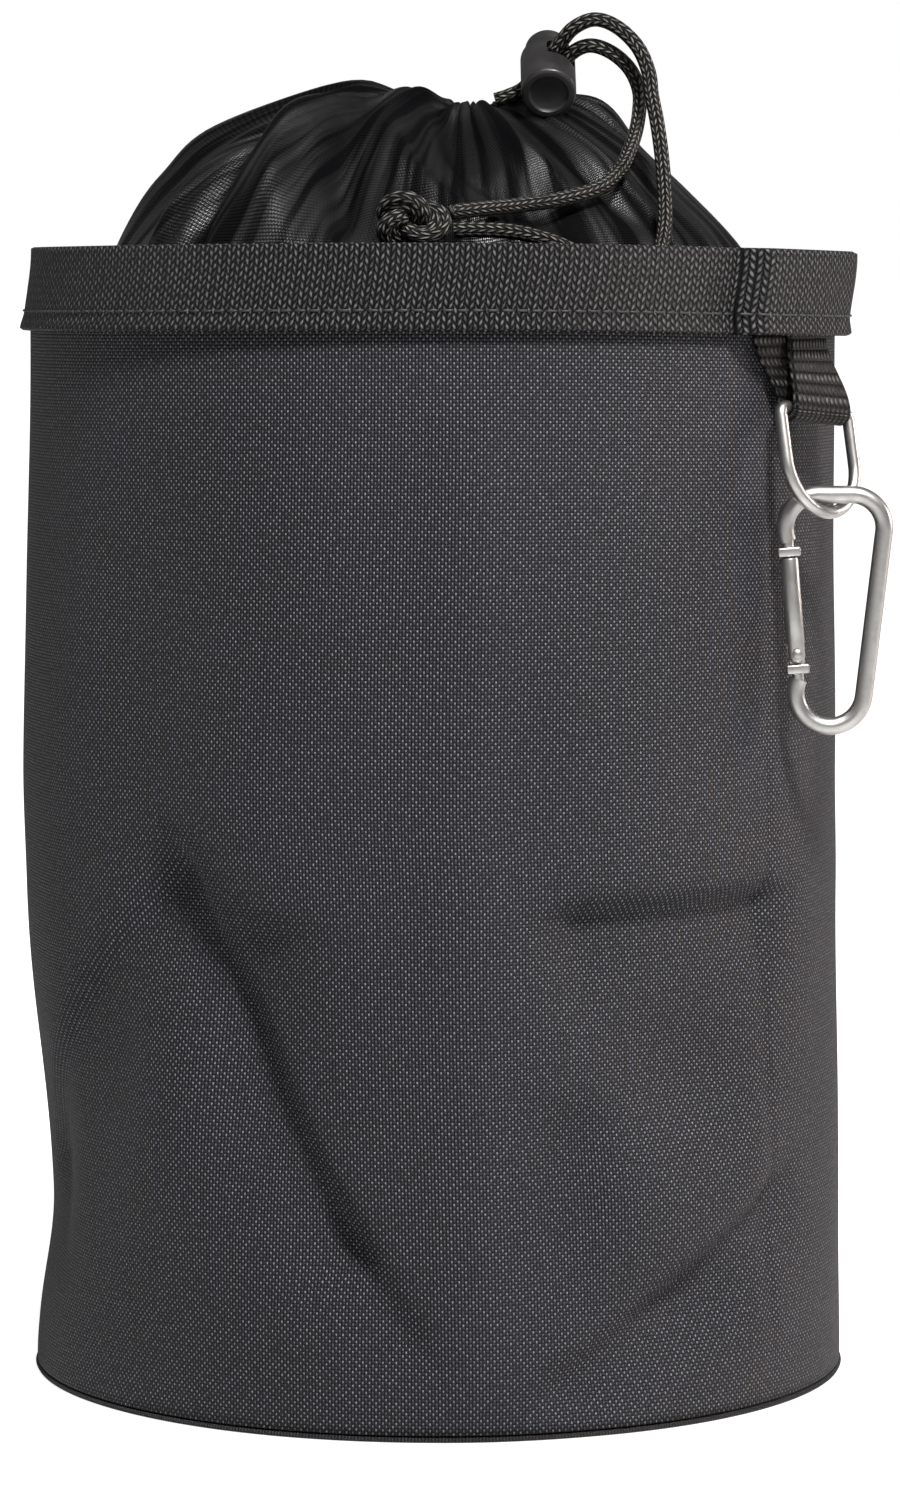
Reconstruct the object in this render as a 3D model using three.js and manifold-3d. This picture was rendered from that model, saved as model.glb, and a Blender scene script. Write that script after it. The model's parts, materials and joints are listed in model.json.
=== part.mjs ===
// A clothespin bag: a round standing bag of coated cloth with a webbing band round its rim, a thin
// collar gathered to a neck by a braided drawstring with a spring lock, and a snap hook that hangs
// on a ring in a webbing loop. Millimetres, +Z up, -Y is the front, the origin is the middle of the
// base's underside. Angles are degrees from the front, positive to the right.
import * as THREE from "three";
import { LoftGeometry } from "three/addons/geometries/LoftGeometry.js";
import { mergeVertices } from "three/addons/utils/BufferGeometryUtils.js";
import Module from "manifold-3d";

// Body, base and band
const BODY_RADIUS = 99.5;
const BAG_HEIGHT = 276; // ground to the band's upper edge at the front
const BODY_WALL = 1.5;
const BASE_THICKNESS = 1.5;
const BASE_LIP = 0.4; // how far the sewn edge of the base shows beyond the wall
const FABRIC_BELOW_BAND_TOP = 0.8;
const RIM_SAG_LEFT = 1.2; // how much lower the rim is at the sides than at the front
const RIM_SAG_RIGHT = 2.5;
const BAND_WIDTH = 20;
const BAND_THICKNESS = 1.5;
const BAND_STITCH_HEIGHT = 4.7; // the stitch line's height above the band's lower edge
const BAND_FLARE = 0.8; // how far the lower edge stands off below the stitch line
const BAND_END_ANGLE = 44; // where the band's outer end shows
const BAND_OVERLAP_ANGLE = 58; // how far the two layers run on each other
const GAP = 0.3; // clearance between pieces that touch

// Collar
const COLLAR_WALL = 1.2;
const COLLAR_RISE = 37.5; // the highest fold above the band's upper edge
const COLLAR_TUCK = 6; // how far below the band's upper edge the collar leaves the wall
const COLLAR_HEM = 7; // height of the stretch that lies flat on the inside of the wall
const TROUGH_DEPTH = 16; // the slack between rim and collar, below the band's upper edge
const NECK_RADIUS = 6.3;
const NECK_RISE = 32.4; // the neck's ruffle above the band's upper edge
const NECK_RUFFLE = 5.6; // how far the ruffle stands out round the neck
const NECK_OFFSET = { x: 7, y: -4 };
const GATHER_COUNT = 15;
const GATHER_RISE = 1.1;

// Drawstring and its lock
const CORD_DIAMETER = 3.5;
const BARREL_RADIUS = 6.6;
const BARREL_WALL = 0.9;
const BARREL_LENGTH = 17.6;
const BARREL_FLOOR = 2.4;
const PLUNGER_TRAVEL = 3;
const PLUNGER_STICKS_OUT = 6.9;
const LOCK_HOLE_AT = 12.1; // from the barrel's flat end to the middle of the cord hole
const LOCK_HOLE_LENGTH = 6; // along the barrel
const LOCK_HOLE_WIDTH = 2 * CORD_DIAMETER + 4 * GAP;
const LOCK_PLACE = { x: 26.6, y: -28, rise: 35.1 }; // middle of the barrel's flat end, above the band
const LOCK_PITCH = 29.5; // degrees that the lock rises towards the back
const LOCK_ROLL = 55; // degrees that its cord hole rises towards the right

// Webbing loop and ring
const LOOP_WIDTH = 20;
const LOOP_THICKNESS = 1.4;
const LOOP_BACK_ANGLE = 55; // middle of the inner layer under the band
const LOOP_FRONT_ANGLE = 61.5; // middle of the outer layer under the band
const LOOP_LENGTH = 22.4; // from the band's lower edge to the fold
const LOOP_TUCK = 14; // how far both ends run up under the band
const RING_WIRE = 3;
const RING_SIDE_CLEARANCE = 0.8; // between the loop's edge and the ring's side
const RING_DROP = 24.7; // from the bar's middle line to the bow's
const RING_ANGLE = 59; // where the middle of the bar stands round the bag
const RING_SLACK = 3.4; // room between the wall and the loop's inner layer at the bar
const RING_FACING = 46; // degrees that the ring's plane is turned from the front
const RING_LEAN = 14; // degrees that the ring stands out from the wall
const RING_ROLL = 5; // degrees that the bar's near end is higher
const RING_CORNER = 2;

// Snap hook
const HOOK_LENGTH = 58.7; // over all
const HOOK_WIDTH = 23.4; // between the middle lines of the rod's two sides at the top
const HOOK_ROD = 4.2;
const HOOK_TOP_BEND = 7.8; // radius of the rod's middle line at the top corners
const HOOK_LOW_BEND = 8.1; // and round the lower end
const HOOK_NOSE_TURN = 23; // degrees that the rod bends inwards past the side, to its nose
const HOOK_FOOT_TURN = 22; // and at the gate's foot
const HOOK_LOW_SHIFT = -0.9; // the lower end's middle, from the hook's middle line
const HOOK_FACING = 4;
const HOOK_LINK_ACROSS = -1.8; // where the ring touches the hook's top, from the hook's middle line
const GATE_DIAMETER = 4.3;
const GATE_BLOCK_WIDTH = 5.4;
const GATE_BLOCK_HEIGHT = 2.2;
const GATE_BLOCK_THICKNESS = 3.6;
const GATE_NECK_LENGTH = 1.4;
const GATE_NECK_DIAMETER = 2.8;
const TONGUE_THICKNESS = 1.1;
const RIVET_DIAMETER = 1.6;
const RIVET_HEAD_DIAMETER = 2.5;
const RIVET_HEAD_HEIGHT = 0.5;

// The wall's cross sections: height as a share of the cloth's height, sideways shift and radius as
// shares of BODY_RADIUS.
const SECTIONS = [
  { height: 0.0, shift: 0.002, radius: 1.0 },
  { height: 0.436, shift: -0.015, radius: 1.0 },
  { height: 0.541, shift: -0.021, radius: 1.0 },
  { height: 0.927, shift: -0.012, radius: 0.986 },
  { height: 1.0, shift: 0.009, radius: 0.986 },
];

// Creases of the wall, each a line from one place to another with a step in the cloth beside it:
// angles in degrees, heights as shares of the cloth's height, and as shares of BODY_RADIUS the
// step's rise and the widths over which it fades to the left and the right of the line.
const CREASES = [
  // the soft ridge down the front
  { angle: 5, height: 0.84, toAngle: 5, toHeight: 0.03, left: 0.1, right: 0.1, rise: 0.012 },
  // the tent shaped fold at the lower left: its left slope, its right slope and the foot of that
  { angle: -37, height: 0.47, toAngle: -80, toHeight: 0.2, left: 0.26, right: 0.05, rise: -0.02 },
  { angle: -37, height: 0.47, toAngle: -12, toHeight: 0.17, left: 0.04, right: 0.17, rise: -0.028 },
  { angle: -12, height: 0.17, toAngle: -5, toHeight: 0.1, left: 0.04, right: 0.12, rise: -0.016 },
  // the tuck at the right: a step in under a dark line, and the swelling below it
  { angle: 22, height: 0.435, toAngle: 52, toHeight: 0.44, left: 0.04, right: 0.2, rise: -0.034 },
  { angle: 26, height: 0.22, toAngle: 48, toHeight: 0.22, left: 0.2, right: 0.16, rise: 0.014 },
  // the fold that runs down to the left from the lower right
  { angle: 19, height: 0.05, toAngle: 53, toHeight: 0.18, left: 0.04, right: 0.15, rise: -0.026 },
];

// Round dents: widths to the side, upwards and downwards, and rise, as shares of BODY_RADIUS.
const DENTS = [
  { angle: -82, height: 0.15, side: 0.32, up: 0.42, down: 0.2, rise: -0.062 },
  { angle: -50, height: 0.03, side: 0.3, up: 0.2, down: 0.2, rise: -0.014 },
  { angle: 160, height: 0.42, side: 0.34, up: 0.3, down: 0.26, rise: -0.03 },
  { angle: -140, height: 0.3, side: 0.22, up: 0.32, down: 0.2, rise: -0.022 },
  { angle: 108, height: 0.2, side: 0.2, up: 0.22, down: 0.16, rise: -0.022 },
];

// The collar's outline by direction: radii as shares of BODY_RADIUS, rises as shares of COLLAR_RISE.
const COLLAR_FOLDS = [
  { angle: -180, foot: 0.764, shoulder: 0.543, shoulderRise: 0.667, crown: 0.281, crownRise: 0.83 },
  { angle: -140, foot: 0.774, shoulder: 0.553, shoulderRise: 0.693, crown: 0.302, crownRise: 0.9 },
  { angle: -100, foot: 0.804, shoulder: 0.573, shoulderRise: 0.72, crown: 0.261, crownRise: 0.99 },
  { angle: -78, foot: 0.744, shoulder: 0.503, shoulderRise: 0.587, crown: 0.281, crownRise: 0.86 },
  { angle: -59, foot: 0.764, shoulder: 0.43, shoulderRise: 0.86, crown: 0.261, crownRise: 0.97 },
  { angle: -31, foot: 0.774, shoulder: 0.4, shoulderRise: 0.82, crown: 0.225, crownRise: 1.0 },
  { angle: 0, foot: 0.79, shoulder: 0.472, shoulderRise: 0.533, crown: 0.2, crownRise: 0.83 },
  { angle: 45, foot: 0.764, shoulder: 0.503, shoulderRise: 0.57, crown: 0.281, crownRise: 0.814 },
  { angle: 90, foot: 0.724, shoulder: 0.472, shoulderRise: 0.6, crown: 0.342, crownRise: 0.9 },
  { angle: 135, foot: 0.744, shoulder: 0.523, shoulderRise: 0.62, crown: 0.302, crownRise: 0.83 },
];

// The strands' routes from the collar's neck through the lock to the knot: x, y and the height above
// the band's upper edge, in millimetres.
const STRAND_A_ROUTE = [
  [18.4, -9.4, 35.4],
  [21.5, -11.6, 34.9],
  [24.1, -14.1, 35.2],
  [28.2, -17.0, 40.2],
  [32.2, -19.8, 45.1],
  [36.6, -21.4, 46.9],
  [41.6, -21.8, 45.3],
  [46.0, -22.2, 41.4],
  [48.3, -23.4, 36.2],
  [48.2, -26.8, 31.0],
  [47.2, -31.4, 26.0],
  [45.4, -38.6, 21.4],
  [42.8, -47.6, 16.8],
  [37.6, -57.4, 12.6],
  [28.6, -65.6, 9.9],
  [18.2, -71.8, 8.4],
  [10.0, -79.2, 7.6],
  [3.4, -83.6, 6.8],
];
const STRAND_B_ROUTE = [
  [14.0, -14.6, 34.1],
  [17.4, -14.9, 35.2],
  [21.0, -15.2, 37.1],
  [25.1, -18.1, 42.1],
  [29.1, -20.9, 47.0],
  [32.6, -23.0, 51.0],
  [37.6, -24.0, 53.0],
  [42.9, -24.8, 51.2],
  [47.8, -26.4, 46.4],
  [50.4, -29.0, 40.2],
  [51.0, -33.0, 34.6],
  [52.0, -38.2, 28.6],
  [52.9, -43.6, 21.0],
  [53.4, -50.2, 12.4],
  [53.2, -58.4, 3.6],
  [51.2, -67.4, -3.6],
  [47.0, -75.0, -7.2],
  [41.4, -80.6, -7.4],
  [35.0, -83.2, -4.0],
  [27.4, -84.6, -0.2],
  [18.6, -86.0, 2.2],
  [10.6, -87.2, 2.8],
  [3.9, -87.4, 2.7],
];
const KNOT_PLACE = { x: -6, y: -85.5, rise: 4.6 }; // above the band's upper edge
const KNOT_LENGTH = 19; // over all, sideways
const KNOT_HEIGHT = 15;
const KNOT_DEPTH = 9.6;

// Counts of facets
const WALL_STEPS_ROUND = 68;
const WALL_STEPS_UP = 11;
const COLLAR_STEPS_ALONG = 11;
const CORD_SIDES = 8;
const ROD_SIDES = 10;

// Colours, roughness and metalness
const FINISHES = {
  coated_cloth: { color: 0x2b2b2f, roughness: 0.78, metalness: 0 },
  webbing: { color: 0x1b1b1d, roughness: 0.7, metalness: 0 },
  lining_cloth: { color: 0x101012, roughness: 0.36, metalness: 0 },
  cord: { color: 0x0e0e0f, roughness: 0.6, metalness: 0 },
  plastic: { color: 0x1a181b, roughness: 0.42, metalness: 0 },
  steel: { color: 0xb9b6ae, roughness: 0.26, metalness: 1 },
};

// What the sizes above give
const CLOTH_TOP = BAG_HEIGHT - FABRIC_BELOW_BAND_TOP;
const BAND_LOW = BAG_HEIGHT - BAND_WIDTH;
const WALL_LOW = BASE_THICKNESS + GAP;
const RING_HALF_WIDTH = LOOP_WIDTH / 2 + RING_SIDE_CLEARANCE + RING_WIRE / 2;
const LOOP_INNER_BEND = RING_WIRE / 2 + GAP + LOOP_THICKNESS / 2;
const HOOK_SPAN = HOOK_LENGTH - HOOK_ROD;
const UP = new THREE.Vector3(0, 0, 1);

const wasm = await Module();
wasm.setup();

const radians = THREE.MathUtils.degToRad;
const mix = THREE.MathUtils.lerp;
const smooth = (share) => THREE.MathUtils.smoothstep(share, 0, 1);
const hump = (distance, halfWidth) => Math.exp(-((distance / halfWidth) ** 2));
const turned = (degrees) => ((((degrees + 180) % 360) + 360) % 360) - 180;

// The direction along the wall and the one away from it, for a facing in degrees from the front.
const alongFacing = (degrees) =>
  new THREE.Vector3(Math.cos(radians(degrees)), Math.sin(radians(degrees)), 0);
const awayFacing = (degrees) =>
  new THREE.Vector3(Math.sin(radians(degrees)), -Math.cos(radians(degrees)), 0);

// The value of one column of a table at a place between its rows, eased from row to row.
function column(rows, key, at, name) {
  const last = rows.length - 1;
  if (at <= rows[0][key]) return rows[0][name];
  if (at >= rows[last][key]) return rows[last][name];
  const next = rows.findIndex((row) => row[key] > at);
  const low = rows[next - 1];
  const high = rows[next];
  return mix(low[name], high[name], smooth((at - low[key]) / (high[key] - low[key])));
}

// The same for a table that closes on itself after a full turn.
function roundColumn(rows, angle, name) {
  const closed = [...rows, { ...rows[0], angle: rows[0].angle + 360 }];
  return column(closed, "angle", turned(angle), name);
}

// The rise of one crease at a place on the unrolled wall.
function creaseRise(crease, angle, z) {
  const arc = radians(turned(angle - crease.angle)) * BODY_RADIUS;
  const lift = z - crease.height * CLOTH_TOP;
  const runArc = radians(crease.toAngle - crease.angle) * BODY_RADIUS;
  const runLift = (crease.toHeight - crease.height) * CLOTH_TOP;
  const length = Math.hypot(runArc, runLift);
  const along = (arc * runArc + lift * runLift) / length;
  const leftOf = (runArc * lift - runLift * arc) / length;
  const width = (leftOf > 0 ? crease.left : crease.right) * BODY_RADIUS;
  const past = Math.max(0, -along, along - length);
  return crease.rise * BODY_RADIUS * hump(leftOf, width) * hump(past, 0.1 * BODY_RADIUS);
}

function dentRise(dent, angle, z) {
  const arc = radians(turned(angle - dent.angle));
  const lift = (z - dent.height * CLOTH_TOP) / BODY_RADIUS;
  return dent.rise * BODY_RADIUS * hump(arc, dent.side) * hump(lift, lift > 0 ? dent.up : dent.down);
}

function wallRise(angle, z) {
  const creases = CREASES.reduce((sum, crease) => sum + creaseRise(crease, angle, z), 0);
  const dents = DENTS.reduce((sum, dent) => sum + dentRise(dent, angle, z), 0);
  return (creases + dents) * smooth((z + 2) / 14);
}

// How far the rim sags at the sides, fading out down the wall.
function rimSag(angle, z) {
  const side = Math.sin(radians(angle));
  const deepest = side > 0 ? RIM_SAG_RIGHT : RIM_SAG_LEFT;
  return deepest * side ** 2 * smooth((z / BAG_HEIGHT - 0.6) / 0.3);
}

// A point of the wall's outer face, or one that stands off it.
function wallPoint(angle, z, standOff = 0) {
  const height = z / CLOTH_TOP;
  const radius = column(SECTIONS, "height", height, "radius") * BODY_RADIUS + wallRise(angle, z) + standOff;
  const shift = column(SECTIONS, "height", height, "shift") * BODY_RADIUS;
  const base = new THREE.Vector3(shift, 0, z - rimSag(angle, z));
  return awayFacing(angle).multiplyScalar(radius).add(base);
}

const closedLoft = (rings) => new LoftGeometry([...rings, rings[0]]);
const cappedLoft = (rings) => new LoftGeometry(rings, { capStart: true, capEnd: true });

function solidOf(geometry) {
  const bare = new THREE.BufferGeometry().setAttribute("position", geometry.getAttribute("position"));
  bare.setIndex(geometry.getIndex());
  const merged = mergeVertices(bare, 1e-4);
  return new wasm.Manifold(
    new wasm.Mesh({
      numProp: 3,
      vertProperties: new Float32Array(merged.attributes.position.array),
      triVerts: new Uint32Array(merged.index.array),
    }),
  );
}

function geometryOf(solid) {
  const mesh = solid.getMesh();
  const geometry = new THREE.BufferGeometry();
  geometry.setAttribute("position", new THREE.BufferAttribute(new Float32Array(mesh.vertProperties), 3));
  geometry.setIndex(new THREE.BufferAttribute(new Uint32Array(mesh.triVerts), 1));
  return geometry;
}

// A round bar or a box as a solid, moved to its place.
const rodSolid = (radius, length, sides, place) =>
  solidOf(new THREE.CylinderGeometry(radius, radius, length, sides).applyMatrix4(place));
const boxSolid = (x, y, z, place) => solidOf(new THREE.BoxGeometry(x, y, z).applyMatrix4(place));
const turnedToZ = new THREE.Matrix4().makeRotationX(Math.PI / 2);

const group = new THREE.Group();
function addPiece(name, geometry, finish, frame) {
  const mesh = new THREE.Mesh(geometry, new THREE.MeshStandardMaterial(FINISHES[finish]));
  mesh.name = name;
  if (frame) mesh.applyMatrix4(frame);
  mesh.geometry.computeVertexNormals();
  group.add(mesh);
}

const roundAngles = (steps) => Array.from({ length: steps }, (_, i) => -180 + (360 * i) / steps);

// The wall is one cloth shell: for each direction a closed strip up the inside and down the outside.
function bodyPanel() {
  const heights = [];
  for (let i = 0; i <= WALL_STEPS_UP; i++) {
    heights.push(mix(WALL_LOW, BAND_LOW, (i / WALL_STEPS_UP) ** 1.25));
  }
  heights.push(BAND_LOW + BAND_STITCH_HEIGHT, CLOTH_TOP);
  const rings = roundAngles(WALL_STEPS_ROUND).map((angle) => [
    ...heights.map((z) => wallPoint(angle, z, -BODY_WALL)),
    ...heights.toReversed().map((z) => wallPoint(angle, z)),
  ]);
  return closedLoft(rings);
}

function basePanel() {
  const ring = (z) =>
    roundAngles(WALL_STEPS_ROUND).map((angle) => wallPoint(angle, WALL_LOW, BASE_LIP).setZ(z));
  return cappedLoft([ring(0), ring(BASE_THICKNESS)]);
}

// How far the loop's two layers push the band off the wall.
function loopLift(angle) {
  const halfAngle = THREE.MathUtils.radToDeg(LOOP_WIDTH / 2 / BODY_RADIUS);
  const ease = 4;
  const clear = 1.5;
  const start = (angle - (LOOP_BACK_ANGLE - halfAngle - clear - ease)) / ease;
  const stop = (LOOP_FRONT_ANGLE + halfAngle + clear + ease - angle) / ease;
  return (2 * LOOP_THICKNESS + 4 * GAP) * Math.min(smooth(start), smooth(stop));
}

// The second layer starts with a cut end and, further on, dips under the first.
function overlapRise(angle) {
  if (angle < BAND_END_ANGLE) return 0;
  const fade = 10;
  return BAND_THICKNESS * smooth((BAND_END_ANGLE + BAND_OVERLAP_ANGLE - angle) / fade);
}

function rimBand() {
  const cut = 0.15;
  const ends = [BAND_END_ANGLE - cut, BAND_END_ANGLE + cut];
  const angles = [...roundAngles(WALL_STEPS_ROUND), ...ends].sort((a, b) => a - b);
  const rows = [
    { z: BAND_LOW, flare: BAND_FLARE },
    { z: BAND_LOW + BAND_STITCH_HEIGHT, flare: 0 },
    { z: BAG_HEIGHT, flare: 0 },
  ];
  const rings = angles.map((angle) => {
    const inner = GAP + loopLift(angle);
    const outer = inner + BAND_THICKNESS + overlapRise(angle);
    return [
      ...rows.map(({ z, flare }) => wallPoint(angle, z, inner + flare)),
      ...rows.toReversed().map(({ z, flare }) => wallPoint(angle, z, outer + flare)),
    ];
  });
  return closedLoft(rings);
}

// The collar's section in one direction, from its hem down the inside of the rim, across the slack
// and up over the folds to the neck: a curve of radius and height.
function collarMeridian(angle) {
  const read = (name) => roundColumn(COLLAR_FOLDS, angle, name);
  const hem = BODY_RADIUS * column(SECTIONS, "height", 1, "radius") - BODY_WALL - 2 * GAP - COLLAR_WALL;
  const hemTop = BAG_HEIGHT - COLLAR_TUCK - rimSag(angle, BAG_HEIGHT);
  const foot = BODY_RADIUS * read("foot");
  const shoulder = BODY_RADIUS * read("shoulder");
  const shoulderHeight = BAG_HEIGHT + COLLAR_RISE * read("shoulderRise");
  const crownHeight = BAG_HEIGHT + COLLAR_RISE * read("crownRise");
  const neck = BAG_HEIGHT + NECK_RISE;
  const gather = GATHER_RISE * Math.cos(radians(GATHER_COUNT * angle));
  return new THREE.SplineCurve([
    new THREE.Vector2(hem, hemTop),
    new THREE.Vector2(hem - 0.5, hemTop - COLLAR_HEM),
    new THREE.Vector2(mix(hem, foot, 0.5), BAG_HEIGHT - TROUGH_DEPTH),
    new THREE.Vector2(foot, BAG_HEIGHT),
    new THREE.Vector2(mix(foot, shoulder, 0.5), mix(BAG_HEIGHT, shoulderHeight, 0.56)),
    new THREE.Vector2(shoulder, shoulderHeight),
    new THREE.Vector2(BODY_RADIUS * read("crown"), crownHeight + 0.5 * gather),
    new THREE.Vector2(NECK_RADIUS + NECK_RUFFLE, mix(crownHeight, neck, 0.8) + gather),
    new THREE.Vector2(NECK_RADIUS + 0.3 * NECK_RUFFLE + 0.5 * gather, neck + 0.6 * gather),
    new THREE.Vector2(NECK_RADIUS + 0.4 * gather, neck - 4),
  ]);
}

function collar() {
  const rings = roundAngles(WALL_STEPS_ROUND).map((angle) => {
    const meridian = collarMeridian(angle);
    const shown = [];
    const hidden = [];
    for (let i = 0; i <= COLLAR_STEPS_ALONG; i++) {
      const share = i / COLLAR_STEPS_ALONG;
      const point = meridian.getPoint(share);
      const run = meridian.getTangent(share);
      const towardsNeck = smooth((share - 0.4) / 0.5);
      const wallShift = column(SECTIONS, "height", point.y / CLOTH_TOP, "shift") * BODY_RADIUS;
      const centre = new THREE.Vector3(
        mix(wallShift, NECK_OFFSET.x, towardsNeck),
        NECK_OFFSET.y * towardsNeck,
        0,
      );
      const place = (radius, z) => awayFacing(angle).multiplyScalar(radius).add(centre).setZ(z);
      shown.push(place(point.x, point.y));
      hidden.push(place(point.x - run.y * COLLAR_WALL, point.y + run.x * COLLAR_WALL));
    }
    return [...hidden, ...shown.toReversed()];
  });
  return closedLoft(rings);
}

function strand(route) {
  const points = route.map(([x, y, rise]) => new THREE.Vector3(x, y, BAG_HEIGHT + rise));
  const path = new THREE.CatmullRomCurve3(points, false, "centripetal");
  const section = new THREE.Shape(
    Array.from({ length: CORD_SIDES }, (_, i) => {
      const turn = (2 * Math.PI * i) / CORD_SIDES;
      return new THREE.Vector2(Math.cos(turn), Math.sin(turn)).multiplyScalar(CORD_DIAMETER / 2);
    }),
  );
  const steps = Math.round(path.getLength() / (1.6 * CORD_DIAMETER));
  return new THREE.ExtrudeGeometry(section, { steps, bevelEnabled: false, extrudePath: path });
}

// Rings of a round section along a closed or open list of points.
function tubeRings(points, radius, sides, closed) {
  const last = points.length - 1;
  let side = new THREE.Vector3(0.31, 0.93, 0.2);
  return points.map((point, i) => {
    const ahead = points[closed ? (i + 1) % points.length : Math.min(i + 1, last)];
    const behind = points[closed ? (i + last) % points.length : Math.max(i - 1, 0)];
    const run = ahead.clone().sub(behind).normalize();
    side = side.clone().addScaledVector(run, -side.dot(run)).normalize();
    const other = run.clone().cross(side);
    return Array.from({ length: sides }, (_, k) => {
      const turn = (2 * Math.PI * k) / sides;
      return point
        .clone()
        .addScaledVector(side, radius * Math.cos(turn))
        .addScaledVector(other, radius * Math.sin(turn));
    });
  });
}

// The knot's outer form: an egg shaped lump with the turns of the cord as ribs round it.
function knot() {
  const stepsLong = 13;
  const stepsRound = 14;
  const rings = [];
  for (let i = 0; i < stepsLong; i++) {
    const polar = mix(Math.PI - 0.15, 0.15, i / (stepsLong - 1));
    const ring = [];
    for (let k = 0; k < stepsRound; k++) {
      const turn = (2 * Math.PI * k) / stepsRound;
      const girth = Math.sqrt(Math.sin(polar)) * (1 + 0.08 * Math.cos(6 * polar + turn));
      ring.push(
        new THREE.Vector3(
          KNOT_PLACE.x + (KNOT_LENGTH / 2) * Math.cos(polar),
          KNOT_PLACE.y + (KNOT_DEPTH / 2) * girth * Math.cos(turn),
          BAG_HEIGHT + KNOT_PLACE.rise + (KNOT_HEIGHT / 2) * girth * Math.sin(turn),
        ),
      );
    }
    rings.push(ring);
  }
  return cappedLoft(rings);
}

// The lock's own frame: Z along the barrel from its flat end, X along the cord hole.
function lockFrame() {
  const back = new THREE.Vector3(0, Math.cos(radians(LOCK_PITCH)), Math.sin(radians(LOCK_PITCH)));
  const lift = new THREE.Vector3(0, -back.z, back.y);
  const hole = new THREE.Vector3(Math.cos(radians(LOCK_ROLL)), 0, 0);
  hole.addScaledVector(lift, Math.sin(radians(LOCK_ROLL)));
  const across = back.clone().cross(hole);
  return new THREE.Matrix4()
    .makeBasis(hole, across, back)
    .setPosition(LOCK_PLACE.x, LOCK_PLACE.y, BAG_HEIGHT + LOCK_PLACE.rise);
}

function lathe(profile, sides) {
  const points = profile.map(([radius, height]) => new THREE.Vector2(radius, height));
  return new THREE.LatheGeometry(points, sides).applyMatrix4(turnedToZ);
}

function lockSlot(length, middle) {
  const place = new THREE.Matrix4().makeTranslation(0, 0, middle);
  return boxSolid(4 * BARREL_RADIUS, LOCK_HOLE_WIDTH, length, place);
}

function lockBarrel() {
  const bore = BARREL_RADIUS - BARREL_WALL;
  const edge = 0.6;
  const shell = lathe(
    [
      [0, 0],
      [BARREL_RADIUS - edge, 0],
      [BARREL_RADIUS, edge],
      [BARREL_RADIUS, BARREL_LENGTH - edge],
      [BARREL_RADIUS - edge, BARREL_LENGTH],
      [bore, BARREL_LENGTH],
      [bore, BARREL_FLOOR],
      [0, BARREL_FLOOR],
    ],
    20,
  );
  return geometryOf(solidOf(shell).subtract(lockSlot(LOCK_HOLE_LENGTH, LOCK_HOLE_AT)));
}

function lockPlunger() {
  const radius = BARREL_RADIUS - BARREL_WALL - GAP;
  const low = BARREL_FLOOR + PLUNGER_TRAVEL + GAP;
  const tip = BARREL_LENGTH + PLUNGER_STICKS_OUT;
  const stem = lathe(
    [
      [0, low],
      [radius, low],
      [radius, tip - 1.8],
      [radius - 0.5, tip - 0.8],
      [radius - 1.6, tip - 0.2],
      [0, tip],
    ],
    20,
  );
  const slot = lockSlot(LOCK_HOLE_LENGTH + PLUNGER_TRAVEL, LOCK_HOLE_AT + PLUNGER_TRAVEL / 2);
  return geometryOf(solidOf(stem).subtract(slot));
}

// The middle of the ring's bar: clear of the wall by the loop's inner layer and some slack.
function barMiddle() {
  const height = BAND_LOW - LOOP_LENGTH + LOOP_THICKNESS + GAP + RING_WIRE / 2;
  return wallPoint(RING_ANGLE, height, RING_SLACK + LOOP_THICKNESS + GAP + RING_WIRE / 2).setZ(height);
}

// The direction of the ring's bar.
function ringRun() {
  const level = alongFacing(RING_FACING).multiplyScalar(Math.cos(radians(RING_ROLL)));
  return level.addScaledVector(UP, -Math.sin(radians(RING_ROLL)));
}

// The loop in stations from the inner layer's upper end, round the bar, to the outer layer's. Each
// has its middle, the direction across the webbing, the one out of its shown face and its curvature.
function loopStations() {
  const bar = barMiddle();
  const top = BAND_LOW + LOOP_TUCK;
  const out = awayFacing(RING_FACING);
  const barRun = ringRun();
  const layer = (angle, standOff, side, shares) =>
    shares.map((share) => {
      const z = mix(bar.z, top, share);
      const hold = smooth(Math.min(1, (z - bar.z) / (BAND_LOW - 2 - bar.z)));
      const hung = bar.clone().addScaledVector(out, side * LOOP_INNER_BEND).setZ(z);
      return {
        middle: hung.lerp(wallPoint(angle, z, standOff).setZ(z), hold),
        across: barRun.clone().lerp(alongFacing(angle), hold).normalize(),
        outward: awayFacing(mix(RING_FACING, angle, hold)).multiplyScalar(side),
        side,
        dish: hold,
      };
    });
  const fold = [180, 210, 240, 270, 300, 330, 360].map((turn) => {
    const outward = out.clone().multiplyScalar(Math.cos(radians(turn)));
    outward.addScaledVector(UP, Math.sin(radians(turn)));
    const middle = bar.clone().addScaledVector(outward, LOOP_INNER_BEND);
    return { middle, across: barRun, outward, side: 1, dish: 0 };
  });
  return [
    ...layer(LOOP_BACK_ANGLE, 1.4 * GAP + LOOP_THICKNESS / 2, -1, [1, 0.75, 0.5, 0.3, 0.12]),
    ...fold,
    ...layer(LOOP_FRONT_ANGLE, 2.2 * GAP + 1.5 * LOOP_THICKNESS, 1, [0.12, 0.3, 0.5, 0.75, 1]),
  ];
}

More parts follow.
